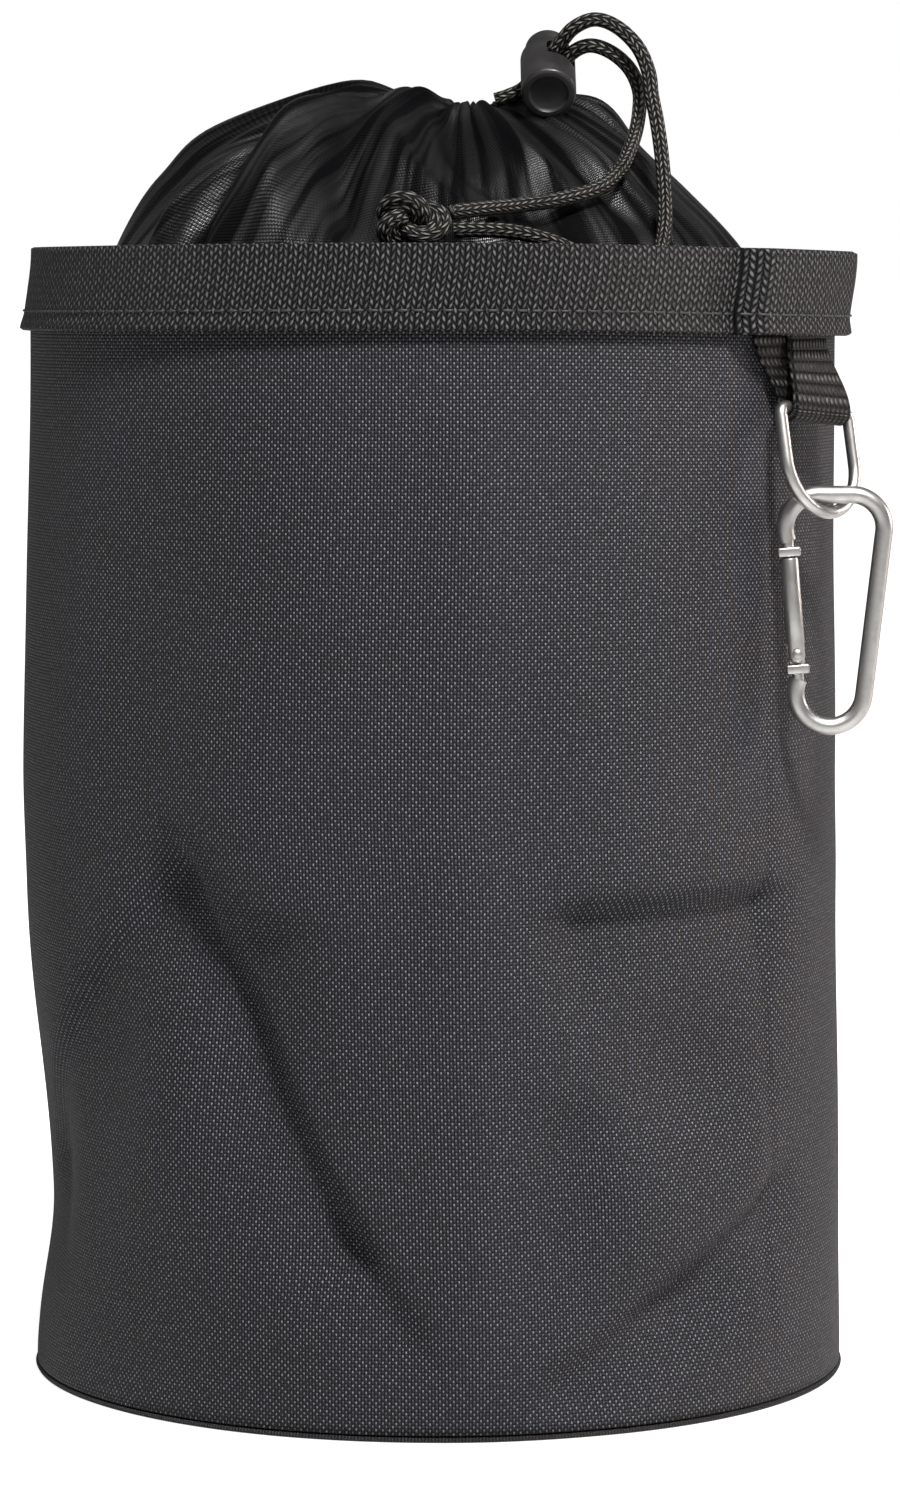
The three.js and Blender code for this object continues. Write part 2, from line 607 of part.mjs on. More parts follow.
function webbingLoop() {
  const columns = 4;
  const rings = loopStations().map(({ middle, across, outward, side, dish }) => {
    const point = (k, face) => {
      const offCentre = (k / columns - 0.5) * LOOP_WIDTH;
      const sag = (dish * offCentre ** 2) / (2 * BODY_RADIUS);
      return middle
        .clone()
        .addScaledVector(across, offCentre)
        .addScaledVector(outward, (face * LOOP_THICKNESS) / 2 - side * sag);
    };
    const ks = Array.from({ length: columns + 1 }, (_, k) => k);
    return [...ks.map((k) => point(k, 1)), ...ks.toReversed().map((k) => point(k, -1))];
  });
  return cappedLoft(rings);
}

// The ring's own frame: X along the bar, Z up in the ring's plane, which leans off the wall.
function ringFrame() {
  const along = ringRun();
  const up = UP.clone().multiplyScalar(Math.cos(radians(RING_LEAN)));
  up.addScaledVector(awayFacing(RING_FACING), -Math.sin(radians(RING_LEAN)));
  up.addScaledVector(along, -up.dot(along)).normalize();
  return new THREE.Matrix4().makeBasis(along, up.clone().cross(along), up).setPosition(barMiddle());
}

// Points on an arc in the XZ plane, from one angle to another.
function arcPoints(x, z, radius, from, to, steps) {
  return Array.from({ length: steps + 1 }, (_, i) => {
    const turn = radians(mix(from, to, i / steps));
    return new THREE.Vector3(x + radius * Math.cos(turn), 0, z + radius * Math.sin(turn));
  });
}

function ringOutline() {
  const half = RING_HALF_WIDTH;
  return [
    ...arcPoints(half - RING_CORNER, -RING_CORNER, RING_CORNER, 90, 0, 3),
    ...arcPoints(0, half - RING_DROP, half, 0, -180, 14),
    ...arcPoints(RING_CORNER - half, -RING_CORNER, RING_CORNER, 180, 90, 3),
  ];
}

const ringBowMiddle = () => new THREE.Vector3(0, 0, -RING_DROP).applyMatrix4(ringFrame());

// The hook's own frame: X across its plane, Z up, origin at the top of its rod's middle line.
function hookFrame() {
  const across = alongFacing(HOOK_FACING);
  const origin = ringBowMiddle();
  origin.addScaledVector(UP, (RING_WIRE + HOOK_ROD) / 2 + 2 * GAP);
  origin.addScaledVector(across, -HOOK_LINK_ACROSS);
  return new THREE.Matrix4().makeBasis(across, UP.clone().cross(across), UP).setPosition(origin);
}

// The hook's rod from its nose over the top, down the straight side and round the lower end.
function hookRoute() {
  const corner = HOOK_WIDTH / 2 - HOOK_TOP_BEND;
  return [
    ...arcPoints(-corner, -HOOK_TOP_BEND, HOOK_TOP_BEND, 180 + HOOK_NOSE_TURN, 90, 7),
    ...arcPoints(corner, -HOOK_TOP_BEND, HOOK_TOP_BEND, 90, -4, 6),
    ...arcPoints(HOOK_LOW_SHIFT, HOOK_LOW_BEND - HOOK_SPAN, HOOK_LOW_BEND, -6, -180 - HOOK_FOOT_TURN, 12),
  ];
}
const HOOK_POINTS = hookRoute();

// The line of the gate, from the nose down to the lower end of the rod.
const GATE_TOP = HOOK_POINTS[0];
const GATE_FOOT = HOOK_POINTS[HOOK_POINTS.length - 1];
const GATE_LINE = GATE_FOOT.clone().sub(GATE_TOP);
const GATE_LEAN = Math.atan2(GATE_LINE.x, -GATE_LINE.z);
const RIVET_ABOVE_FOOT = GATE_NECK_LENGTH + GATE_BLOCK_HEIGHT + GAP + GATE_DIAMETER / 2;
const RIVET_BELOW_TOP = GATE_LINE.length() - RIVET_ABOVE_FOOT;

// A frame on the gate's line, at a distance below its top: Y along the line, Z through the hook.
function gateFrame(below) {
  const place = GATE_TOP.clone().addScaledVector(GATE_LINE.clone().normalize(), below);
  return new THREE.Matrix4()
    .makeTranslation(place.x, place.y, place.z)
    .multiply(new THREE.Matrix4().makeRotationY(-GATE_LEAN))
    .multiply(turnedToZ);
}

// A bar through the hook at the rivet.
const crossRod = (radius, length, sides) =>
  rodSolid(radius, length, sides, gateFrame(RIVET_BELOW_TOP).multiply(turnedToZ));

function hookFrameSolid() {
  const rod = solidOf(cappedLoft(tubeRings(HOOK_POINTS, HOOK_ROD / 2, ROD_SIDES, false)));
  const overlap = 0.6;
  const end = (below, downwards) => {
    const frame = (distance) => gateFrame(below + downwards * distance);
    const neck = rodSolid(
      GATE_NECK_DIAMETER / 2,
      GATE_NECK_LENGTH + 2 * overlap,
      ROD_SIDES,
      frame(GATE_NECK_LENGTH / 2),
    );
    const place = frame(GATE_NECK_LENGTH + GATE_BLOCK_HEIGHT / 2);
    return neck.add(boxSolid(GATE_BLOCK_WIDTH, GATE_BLOCK_HEIGHT, GATE_BLOCK_THICKNESS, place));
  };
  const tongueRadius = GATE_DIAMETER / 2 - GAP;
  const tongueLength = RIVET_ABOVE_FOOT - GATE_NECK_LENGTH - GATE_BLOCK_HEIGHT + overlap;
  const tonguePlace = gateFrame(RIVET_BELOW_TOP + tongueLength / 2);
  const tongue = boxSolid(2 * tongueRadius, tongueLength, TONGUE_THICKNESS, tonguePlace)
    .add(crossRod(tongueRadius, TONGUE_THICKNESS, 16))
    .subtract(crossRod(RIVET_DIAMETER / 2 + GAP, 2 * HOOK_ROD, 12));
  return geometryOf(rod.add(end(0, 1)).add(end(GATE_LINE.length(), -1)).add(tongue));
}

function hookGate() {
  const radius = GATE_DIAMETER / 2;
  const top = GATE_NECK_LENGTH + GATE_BLOCK_HEIGHT + GAP;
  const length = RIVET_BELOW_TOP - top;
  const bar = rodSolid(radius, length + radius, 14, gateFrame(top + (length + radius) / 2));
  const rounded = boxSolid(4 * radius, length, 4 * radius, gateFrame(top + length / 2)).add(
    crossRod(radius, 4 * radius, 16),
  );
  const slotHeight = 2 * (radius + GAP);
  const slot = boxSolid(4 * radius, slotHeight, TONGUE_THICKNESS + 2 * GAP, gateFrame(RIVET_BELOW_TOP));
  const hole = crossRod(RIVET_DIAMETER / 2 + GAP, 4 * radius, 12);
  return geometryOf(bar.intersect(rounded).subtract(slot).subtract(hole));
}

function gateRivet() {
  const half = GATE_DIAMETER / 2 + GAP;
  const tip = half + RIVET_HEAD_HEIGHT;
  const head = RIVET_HEAD_DIAMETER / 2;
  const bar = RIVET_DIAMETER / 2;
  const points = [
    [0, -tip],
    [0.6 * head, -tip],
    [head, -half],
    [bar, -half],
    [bar, half],
    [head, half],
    [0.6 * head, tip],
    [0, tip],
  ].map(([radius, height]) => new THREE.Vector2(radius, height));
  const place = gateFrame(RIVET_BELOW_TOP).multiply(turnedToZ);
  return new THREE.LatheGeometry(points, 12).applyMatrix4(place);
}

addPiece("body_panel", bodyPanel(), "coated_cloth");
addPiece("base_panel", basePanel(), "coated_cloth");
addPiece("rim_band", rimBand(), "webbing");
addPiece("collar", collar(), "lining_cloth");
addPiece("drawstring_a", strand(STRAND_A_ROUTE), "cord");
addPiece("drawstring_b", strand(STRAND_B_ROUTE), "cord");
addPiece("drawstring_knot", knot(), "cord");
addPiece("cord_lock_barrel", lockBarrel(), "plastic", lockFrame());
addPiece("cord_lock_plunger", lockPlunger(), "plastic", lockFrame());
addPiece("webbing_loop", webbingLoop(), "webbing");
addPiece("d_ring", closedLoft(tubeRings(ringOutline(), RING_WIRE / 2, 8, true)), "steel", ringFrame());
addPiece("carabiner_frame", hookFrameSolid(), "steel", hookFrame());
addPiece("carabiner_gate", hookGate(), "steel", hookFrame());
addPiece("gate_rivet", gateRivet(), "steel", hookFrame());

export default group;
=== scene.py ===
"""A clothespin bag on a pale floor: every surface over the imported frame, in metres, +Z up, -Y the front."""

import json
import logging
import math
from collections.abc import Callable, Sequence
from dataclasses import dataclass, field
from enum import Enum

import bmesh
import bpy
from mathutils import Matrix, Vector

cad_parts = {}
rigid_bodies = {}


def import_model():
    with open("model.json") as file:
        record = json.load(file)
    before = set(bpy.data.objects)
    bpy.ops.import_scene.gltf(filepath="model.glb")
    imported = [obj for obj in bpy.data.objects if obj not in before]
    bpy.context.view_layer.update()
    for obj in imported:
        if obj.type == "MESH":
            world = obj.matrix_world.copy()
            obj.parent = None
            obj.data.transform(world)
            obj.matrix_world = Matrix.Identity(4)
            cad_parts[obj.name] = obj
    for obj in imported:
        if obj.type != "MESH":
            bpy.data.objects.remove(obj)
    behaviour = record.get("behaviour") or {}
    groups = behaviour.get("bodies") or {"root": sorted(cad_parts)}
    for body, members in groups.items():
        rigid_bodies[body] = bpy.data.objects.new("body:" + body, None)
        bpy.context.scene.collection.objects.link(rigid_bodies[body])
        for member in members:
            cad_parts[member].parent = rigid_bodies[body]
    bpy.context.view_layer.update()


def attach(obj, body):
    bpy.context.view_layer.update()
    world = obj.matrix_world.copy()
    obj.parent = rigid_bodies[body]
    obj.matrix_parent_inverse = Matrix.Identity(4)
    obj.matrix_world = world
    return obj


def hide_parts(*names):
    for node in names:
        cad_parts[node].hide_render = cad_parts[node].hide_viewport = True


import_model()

log = logging.getLogger("clothespin_bag")

MM = 0.001  # the shapes below are worked out in millimetres
GAP = 0.3  # clearance between pieces that touch
UP = Vector((0, 0, 1))
MERGE = 1e-6  # points nearer than this, in metres, are one
FINE_STEPS = 600  # steps in which a curve's length is measured

Place = Callable[[float, float], Vector]
Station = tuple[Vector, Vector, Vector, float, float]
Row = dict[str, float]


class Body(str, Enum):
    """The rigid bodies that the pieces ride on."""

    BAG = "bag"
    RING = "ring"
    CARABINER = "carabiner"
    GATE = "gate"
    PLUNGER = "plunger"


def mix(low: float, high: float, share: float) -> float:
    """The value at a share of the way from low to high."""
    return low + (high - low) * share


def smooth(share: float) -> float:
    """A share from 0 to 1, eased at both ends."""
    share = min(1.0, max(0.0, share))
    return share * share * (3 - 2 * share)


def hump(distance: float, half_width: float) -> float:
    """A bell of height 1 round distance 0."""
    return math.exp(-((distance / half_width) ** 2))


def turned(degrees: float) -> float:
    """The same direction, from -180 up to 180 degrees."""
    return (degrees + 180) % 360 - 180


def along_facing(degrees: float) -> Vector:
    """The level direction along a wall that faces that many degrees from the front."""
    return Vector((math.cos(math.radians(degrees)), math.sin(math.radians(degrees)), 0))


def away_facing(degrees: float) -> Vector:
    """The level direction away from a wall that faces that many degrees from the front."""
    return Vector((math.sin(math.radians(degrees)), -math.cos(math.radians(degrees)), 0))


def column(rows: Sequence[Row], key: str, at: float, name: str) -> float:
    """One column of a table at a place between its rows, eased from row to row.

    Args:
        rows: the table, in rising order of the key.
        key: the column that says where each row stands.
        at: the place to read.
        name: the column to read.

    Returns:
        The column's value there.
    """
    if at <= rows[0][key]:
        return rows[0][name]
    for low, high in zip(rows, rows[1:]):
        if at < high[key]:
            return mix(low[name], high[name], smooth((at - low[key]) / (high[key] - low[key])))
    return rows[-1][name]


def round_column(rows: Sequence[Row], angle: float, name: str) -> float:
    """The same for a table that closes on itself after a full turn."""
    closed = [*rows, {**rows[0], "angle": rows[0]["angle"] + 360}]
    return column(closed, "angle", turned(angle), name)


def spline_point(points: Sequence[Vector], share: float) -> Vector:
    """A point of the smooth curve through some points.

    Args:
        points: the points that the curve goes through.
        share: how far along the row of points, from 0 to 1.

    Returns:
        The curve's point there.
    """
    at = min(share, 0.999999) * (len(points) - 1)
    i = int(at)
    w = at - i
    p1, p2 = points[i], points[i + 1]
    p0 = points[i - 1] if i else p1
    p3 = points[i + 2] if i + 2 < len(points) else p2
    v1, v2 = (p2 - p0) * 0.5, (p3 - p1) * 0.5
    return (2 * p1 - 2 * p2 + v1 + v2) * w**3 + (3 * p2 - 3 * p1 - 2 * v1 - v2) * w**2 + v1 * w + p1


def even_points(route: Sequence[Sequence[float]], count: int) -> list[Vector]:
    """Points at even steps along a smooth curve through a route.

    Args:
        route: the points of the route.
        count: how many points to return.

    Returns:
        That many points, the ends of the route among them.
    """
    knots = [Vector(p) for p in route]
    dense = [spline_point(knots, i / FINE_STEPS) for i in range(FINE_STEPS + 1)]
    reach = [0.0]
    for a, b in zip(dense, dense[1:]):
        reach.append(reach[-1] + (b - a).length)
    found = []
    j = 0
    for i in range(count):
        at = reach[-1] * i / (count - 1)
        while j < FINE_STEPS - 1 and reach[j + 1] < at:
            j += 1
        step = max(reach[j + 1] - reach[j], 1e-9)
        found.append(dense[j].lerp(dense[j + 1], min(1.0, (at - reach[j]) / step)))
    return found


def route_length(points: Sequence[Vector]) -> float:
    """The length of a row of points."""
    return sum((b - a).length for a, b in zip(points, points[1:]))


def sheet_mesh(
    steps: tuple[int, int],
    place: Place,
    size: tuple[float, float],
    closed: str = "",
) -> bmesh.types.BMesh:
    """A grid bent to a shape, with a UV map in metres.

    Args:
        steps: faces along the two directions of the grid.
        place: gives the point in millimetres for two shares from 0 to 1.
        size: the real lengths in metres along the two directions.
        closed: "u", "v" or "uv" where the grid's edges meet and are merged.

    Returns:
        The bent grid.
    """
    bm = bmesh.new()
    uv_layer = bm.loops.layers.uv.new("cloth")
    bmesh.ops.create_grid(bm, x_segments=steps[0], y_segments=steps[1], size=1.0)
    shares = {vert: ((vert.co.x + 1) / 2, (vert.co.y + 1) / 2) for vert in bm.verts}
    for face in bm.faces:
        for loop in face.loops:
            u, v = shares[loop.vert]
            loop[uv_layer].uv = (u * size[0], v * size[1])
    for vert, (u, v) in shares.items():
        vert.co = place(u, v) * MM
    if closed:
        edge = [vert for vert, (u, v) in shares.items() if min(u, 1 - u, v, 1 - v) < MERGE]
        bmesh.ops.remove_doubles(bm, verts=edge, dist=MERGE)
    return bm


def fill_ends(bm: bmesh.types.BMesh) -> None:
    """Closes the open ends of a tube or strip.

    Args:
        bm: the tube or strip.
    """
    rim = [edge for edge in bm.edges if edge.is_boundary]
    bmesh.ops.holes_fill(bm, edges=rim, sides=0)
    bmesh.ops.recalc_face_normals(bm, faces=bm.faces)


def tube_mesh(
    points: Sequence[Vector],
    radius: float,
    sides: int,
    closed: bool = False,
) -> bmesh.types.BMesh:
    """A round tube along a row of points.

    Args:
        points: the middle line, in millimetres.
        radius: the tube's radius in millimetres.
        sides: faces round it.
        closed: whether the last point joins the first.

    Returns:
        The tube, with closed ends or none.
    """
    line = [*points, points[0]] if closed else list(points)
    last = len(line) - 1
    side = Vector((0.31, 0.93, 0.2))
    frames = []
    for i, point in enumerate(line):
        ahead = line[1] if closed and i == last else line[min(i + 1, last)]
        behind = line[last - 1] if closed and i == 0 else line[max(i - 1, 0)]
        run = (ahead - behind).normalized()
        side = (side - run * side.dot(run)).normalized()
        frames.append((point, side.copy(), run.cross(side)))
    if closed:
        first, end = frames[0], frames[last]
        twist = math.atan2(end[1].dot(first[2]), end[1].dot(first[1]))
        for i in range(last + 1):
            back = -twist * i / last
            point, a, b = frames[i]
            frames[i] = (
                point,
                a * math.cos(back) + b * math.sin(back),
                b * math.cos(back) - a * math.sin(back),
            )

    def place(u: float, v: float) -> Vector:
        """The tube's point at shares along and round it."""
        point, a, b = frames[round(u * last)]
        turn = -2 * math.pi * v
        return point + a * (radius * math.cos(turn)) + b * (radius * math.sin(turn))

    size = (route_length(line) * MM, 2 * math.pi * radius * MM)
    bm = sheet_mesh((last, sides), place, size, "uv" if closed else "v")
    if closed:
        bmesh.ops.recalc_face_normals(bm, faces=bm.faces)
    else:
        fill_ends(bm)
    return bm


def lathe_mesh(profile: Sequence[tuple[float, float]], steps: int, place: Matrix) -> bmesh.types.BMesh:
    """A turned solid.

    Args:
        profile: radii and heights along the Z axis in millimetres, from axis to axis.
        steps: faces round it.
        place: where its own frame stands, in millimetres.

    Returns:
        The solid in metres.
    """
    bm = bmesh.new()
    bm.loops.layers.uv.new("cloth")
    points = [bm.verts.new((radius, 0, height)) for radius, height in profile]
    edges = [bm.edges.new(pair) for pair in zip(points, points[1:])]
    bmesh.ops.spin(
        bm,
        geom=[*points, *edges],
        cent=(0, 0, 0),
        axis=(0, 0, 1),
        angle=2 * math.pi,
        steps=steps,
        use_merge=True,
    )
    bmesh.ops.remove_doubles(bm, verts=bm.verts, dist=1e-4)
    bmesh.ops.recalc_face_normals(bm, faces=bm.faces)
    bmesh.ops.transform(bm, matrix=Matrix.Scale(MM, 4) @ place, verts=bm.verts)
    return bm


def block_mesh(size: Vector, edge: float, place: Matrix) -> bmesh.types.BMesh:
    """A block with rounded edges.

    Args:
        size: its three sizes in millimetres.
        edge: the radius of its edges.
        place: where its own frame stands, in millimetres.

    Returns:
        The block in metres.
    """
    bm = bmesh.new()
    bm.loops.layers.uv.new("cloth")
    bmesh.ops.create_cube(bm, size=1.0, matrix=Matrix.Diagonal((*size, 1)))
    bmesh.ops.bevel(
        bm,
        geom=bm.edges[:],
        offset=edge,
        offset_type="OFFSET",
        affect="EDGES",
        segments=3,
        profile=0.5,
        material=-1,
    )
    bmesh.ops.transform(bm, matrix=Matrix.Scale(MM, 4) @ place, verts=bm.verts)
    return bm


def joined(parts: Sequence[bmesh.types.BMesh]) -> bmesh.types.BMesh:
    """Several meshes as one.

    Args:
        parts: the meshes, which are used up.

    Returns:
        The one mesh.
    """
    whole = parts[0]
    for part in parts[1:]:
        carrier = bpy.data.meshes.new("carrier")
        part.to_mesh(carrier)
        part.free()
        whole.from_mesh(carrier)
        bpy.data.meshes.remove(carrier)
    return whole


def cut(whole: bmesh.types.BMesh, tools: Sequence[bmesh.types.BMesh]) -> bmesh.types.BMesh:
    """A mesh less some others.

    Args:
        whole: the mesh to cut.
        tools: the meshes to take away from it.

    Returns:
        What is left.
    """
    scene_objects = bpy.context.scene.collection.objects
    made = []
    for i, bm in enumerate([whole, *tools]):
        mesh = bpy.data.meshes.new(f"cutting_{i}")
        bm.to_mesh(mesh)
        bm.free()
        thing = bpy.data.objects.new(f"cutting_{i}", mesh)
        scene_objects.link(thing)
        made.append(thing)
    for tool in made[1:]:
        step = made[0].modifiers.new("cut", "BOOLEAN")
        step.object = tool
        step.operation = "DIFFERENCE"
        step.solver = "EXACT"
    evaluated = made[0].evaluated_get(bpy.context.evaluated_depsgraph_get())
    left = bmesh.new()
    left.from_mesh(evaluated.to_mesh())
    evaluated.to_mesh_clear()
    for thing in made:
        mesh = thing.data
        bpy.data.objects.remove(thing)
        bpy.data.meshes.remove(mesh)
    return left


def piece(
    name: str,
    bm: bmesh.types.BMesh,
    material: bpy.types.Material,
    body: Body,
    nodes: Sequence[str] = (),
    sharp: float = 0.0,
) -> bpy.types.Object:
    """Makes a shown piece of a mesh, on a body of the frame.

    Args:
        name: the piece's name.
        bm: its mesh, which is used up.
        material: its finish.
        body: the body that it rides on.
        nodes: the frame's nodes that it stands for.
        sharp: the angle in degrees over which an edge stays sharp, or 0 for none.

    Returns:
        The piece's object.
    """
    mesh = bpy.data.meshes.new(name)
    bm.to_mesh(mesh)
    bm.free()
    mesh.materials.append(material)
    mesh.shade_smooth()
    if sharp:
        mesh.set_sharp_from_angle(angle=math.radians(sharp))
    made = bpy.data.objects.new(name, mesh)
    bpy.context.scene.collection.objects.link(made)
    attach(made, body.value)
    if nodes:
        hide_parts(*nodes)
    log.info("%s: %d faces on %s", name, len(mesh.polygons), body.value)
    return made


def thicken(made: bpy.types.Object, millimetres: float) -> None:
    """Gives a shell its thickness, inwards from the shown face.

    Args:
        made: the shell.
        millimetres: its thickness.
    """
    wall = made.modifiers.new("wall", "SOLIDIFY")
    wall.thickness = millimetres * MM
    wall.offset = -1.0


class Nodes:
    """A small maker of shader nodes in one tree."""

    def __init__(self, tree: bpy.types.NodeTree) -> None:
        """Keeps the tree.

        Args:
            tree: the tree that the nodes go into.
        """
        self.tree = tree

    def put(self, target: bpy.types.NodeSocket, value: object) -> None:
        """Links a socket to a target socket, or sets a plain value on it.

        Args:
            target: the socket to feed.
            value: a socket or a plain value.
        """
        if isinstance(value, bpy.types.NodeSocket):
            self.tree.links.new(value, target)
        else:
            target.default_value = value

    def add(self, kind: str, **settings: object) -> bpy.types.Node:
        """Adds a node and sets its own settings.

        Args:
            kind: the node's type.
            settings: the settings by name.

        Returns:
            The node.
        """
        node = self.tree.nodes.new(kind)
        for name, value in settings.items():
            setattr(node, name, value)
        return node

    def math(self, operation: str, *values: object) -> bpy.types.NodeSocket:
        """Adds a Math node.

        Args:
            operation: the node's operation.
            values: sockets or numbers for its inputs.

        Returns:
            The node's result.
        """
        node = self.add("ShaderNodeMath", operation=operation)
        for i, value in enumerate(values):
            self.put(node.inputs[i], value)
        return node.outputs[0]

    def span(
        self,
        value: object,
        low: float,
        high: float,
        out_low: float,
        out_high: float,
    ) -> bpy.types.NodeSocket:
        """Maps a value from one span to another, eased and clamped.

        Args:
            value: the socket to map.
            low: the span's lower end.
            high: its upper end.
            out_low: what the lower end becomes.
            out_high: what the upper end becomes.

        Returns:
            The mapped value.
        """
        node = self.add("ShaderNodeMapRange", interpolation_type="SMOOTHSTEP")
        for i, part in enumerate((value, low, high, out_low, out_high)):
            self.put(node.inputs[i], part)
        return node.outputs[0]

    def noise(self, vector: bpy.types.NodeSocket, scale: float, detail: float = 2.0) -> bpy.types.NodeSocket:
        """Adds a noise texture on a vector.

        Args:
            vector: where the noise is read.
            scale: how fine it is.
            detail: its octaves.

        Returns:
            The noise's value.
        """
        node = self.add("ShaderNodeTexNoise")
        self.put(node.inputs["Vector"], vector)
        node.inputs["Scale"].default_value = scale
        node.inputs["Detail"].default_value = detail
        return node.outputs[0]

    def blend(self, share: object, low: object, high: object) -> bpy.types.NodeSocket:
        """Mixes two colours.

        Args:
            share: how much of the second.
            low: the first colour.
            high: the second colour.

        Returns:
            The mixed colour.
        """
        node = self.add("ShaderNodeMix", data_type="RGBA", clamp_factor=True)
        self.put(node.inputs[0], share)
        self.put(node.inputs[6], low)
        self.put(node.inputs[7], high)
        return node.outputs[2]

    def group(self, tree: bpy.types.NodeTree, **values: object) -> bpy.types.Node:
        """Places a node group with its own values.

        Args:
            tree: the group.
            values: the values of its inputs by name.

        Returns:
            The group's node.
        """
        node = self.add("ShaderNodeGroup", node_tree=tree)
        for name, value in values.items():
            self.put(node.inputs[name], value)
        return node


def colour(red: float, green: float, blue: float) -> tuple[float, float, float, float]:
    """A linear colour for a socket."""
    return (red, green, blue, 1.0)


def new_group(
    name: str,
    inputs: dict[str, float | None],
    outputs: dict[str, str],
) -> tuple[bpy.types.NodeTree, Nodes]:
    """Starts a shader node group.

    Args:
        name: the group's name.
        inputs: the names and starting values of its inputs, None for a vector.
        outputs: the names and socket kinds of its outputs.

    Returns:
        The group and a maker of nodes in it.
    """
    tree = bpy.data.node_groups.new(name, "ShaderNodeTree")
    for label, value in inputs.items():
        kind = "NodeSocketVector" if value is None else "NodeSocketFloat"
        socket = tree.interface.new_socket(name=label, in_out="INPUT", socket_type=kind)
        if value is not None:
            socket.default_value = value
    for label, kind in outputs.items():
        tree.interface.new_socket(name=label, in_out="OUTPUT", socket_type=kind)
    return tree, Nodes(tree)


def plain_weave_group() -> bpy.types.NodeTree:
    """Threads that pass over and under each other, with painted glints: brighter colour on the crests of the
    warp threads.

    Returns:
        The group: Vector in metres, Pitch in metres and the share of glints; out come Height and a mask of
            painted glints on the warp crests.
    """
    tree, n = new_group(
        "plain_weave",
        {"Vector": None, "Pitch": 0.00075, "Fleck": 0.5},
        {"Height": "NodeSocketFloat", "Fleck": "NodeSocketFloat"},
    )
    source = n.add("NodeGroupInput").outputs
    parts = n.add("ShaderNodeSeparateXYZ")
    n.put(parts.inputs[0], source["Vector"])
    across, up = (n.math("DIVIDE", parts.outputs[i], source["Pitch"]) for i in (0, 1))
    bow_across, bow_up = (
        n.math("ABSOLUTE", n.math("SINE", n.math("MULTIPLY", thread, math.pi))) for thread in (across, up)
    )
    cell = n.math("ADD", n.math("FLOOR", across), n.math("FLOOR", up))
    over = n.math("FLOORED_MODULO", cell, 2.0)
    warp = n.math("MULTIPLY", n.math("MULTIPLY", bow_across, n.math("POWER", bow_up, 0.4)), over)
    under = n.math("SUBTRACT", 1.0, over)
    weft = n.math("MULTIPLY", n.math("MULTIPLY", bow_up, n.math("POWER", bow_across, 0.4)), under)
    height = n.math("ADD", warp, n.math("MULTIPLY", weft, 0.8))
    speck = n.noise(source["Vector"], 900.0, 1.0)
    share = n.math("MULTIPLY", n.span(speck, 0.35, 0.65, 0.25, 1.0), source["Fleck"])
    # painted glints: brighter colour put on the crests of the warp threads, thinned out at random
    glint = n.math("MULTIPLY", n.span(warp, 0.45, 0.95, 0.0, 1.0), share)
    sink = n.add("NodeGroupOutput").inputs
    n.put(sink["Height"], height)
    n.put(sink["Fleck"], glint)
    return tree


def chevron_group() -> bpy.types.NodeTree:
    """Rows of slanting stitches that lean to and fro, as on webbing and braided cord.

    Returns:
        The group: Vector in metres, Row and Step in metres, Slant; out come Height and a mask of painted
            glints on the stitch crests.
    """
    tree, n = new_group(
        "chevron_rows",
        {"Vector": None, "Row": 0.002, "Step": 0.0021, "Slant": 0.5, "Fleck": 0.5, "Alternate": 0.0},
        {"Height": "NodeSocketFloat", "Fleck": "NodeSocketFloat"},
    )
    source = n.add("NodeGroupInput").outputs
    parts = n.add("ShaderNodeSeparateXYZ")
    n.put(parts.inputs[0], source["Vector"])
    along = n.math("DIVIDE", parts.outputs[0], source["Step"])
    rows = n.math("DIVIDE", parts.outputs[1], source["Row"])
    row = n.math("FLOOR", rows)
    inside = n.math("FRACT", rows)
    lean = n.math("SUBTRACT", n.math("MULTIPLY", n.math("FLOORED_MODULO", row, 2.0), 2.0), 1.0)
    shift = n.math("MULTIPLY", n.math("MULTIPLY", inside, lean), source["Slant"])
    stitch = n.math("ABSOLUTE", n.math("SINE", n.math("MULTIPLY", n.math("ADD", along, shift), math.pi)))
    swell = n.math("SINE", n.math("MULTIPLY", inside, math.pi))
    height = n.math("MULTIPLY", n.math("POWER", stitch, 0.7), n.math("POWER", swell, 0.6))
    speck = n.noise(source["Vector"], 700.0, 1.0)
    bright = n.math("MULTIPLY", n.span(speck, 0.35, 0.62, 0.3, 1.0), source["Fleck"])
    second = n.math("FLOORED_MODULO", n.math("FLOOR", along), 2.0)
    shown = n.math("SUBTRACT", 1.0, n.math("MULTIPLY", second, source["Alternate"]))
    # painted glints: brighter colour on the crest of each stitch, thinned out at random and, with Alternate,
    # on every second stitch
    crest = n.span(height, 0.6, 0.95, 0.0, 1.0)
    sink = n.add("NodeGroupOutput").inputs
    n.put(sink["Height"], height)
    n.put(sink["Fleck"], n.math("MULTIPLY", n.math("MULTIPLY", bright, shown), crest))
    return tree


def handling_group() -> bpy.types.NodeTree:
    """Slow, cloudy changes over a surface, as from handling and the cloth's own unevenness.

    Returns:
        The group: Vector, Scale; out comes Cloud from 0 to 1.
    """
    tree, n = new_group("cloudy_surface", {"Vector": None, "Scale": 12.0}, {"Cloud": "NodeSocketFloat"})
    source = n.add("NodeGroupInput").outputs
    noise = n.add("ShaderNodeTexNoise")
    n.put(noise.inputs["Vector"], source["Vector"])
    n.put(noise.inputs["Scale"], source["Scale"])
    noise.inputs["Detail"].default_value = 3.0
    n.put(n.add("NodeGroupOutput").inputs["Cloud"], n.span(noise.outputs[0], 0.3, 0.7, 0.0, 1.0))
    return tree


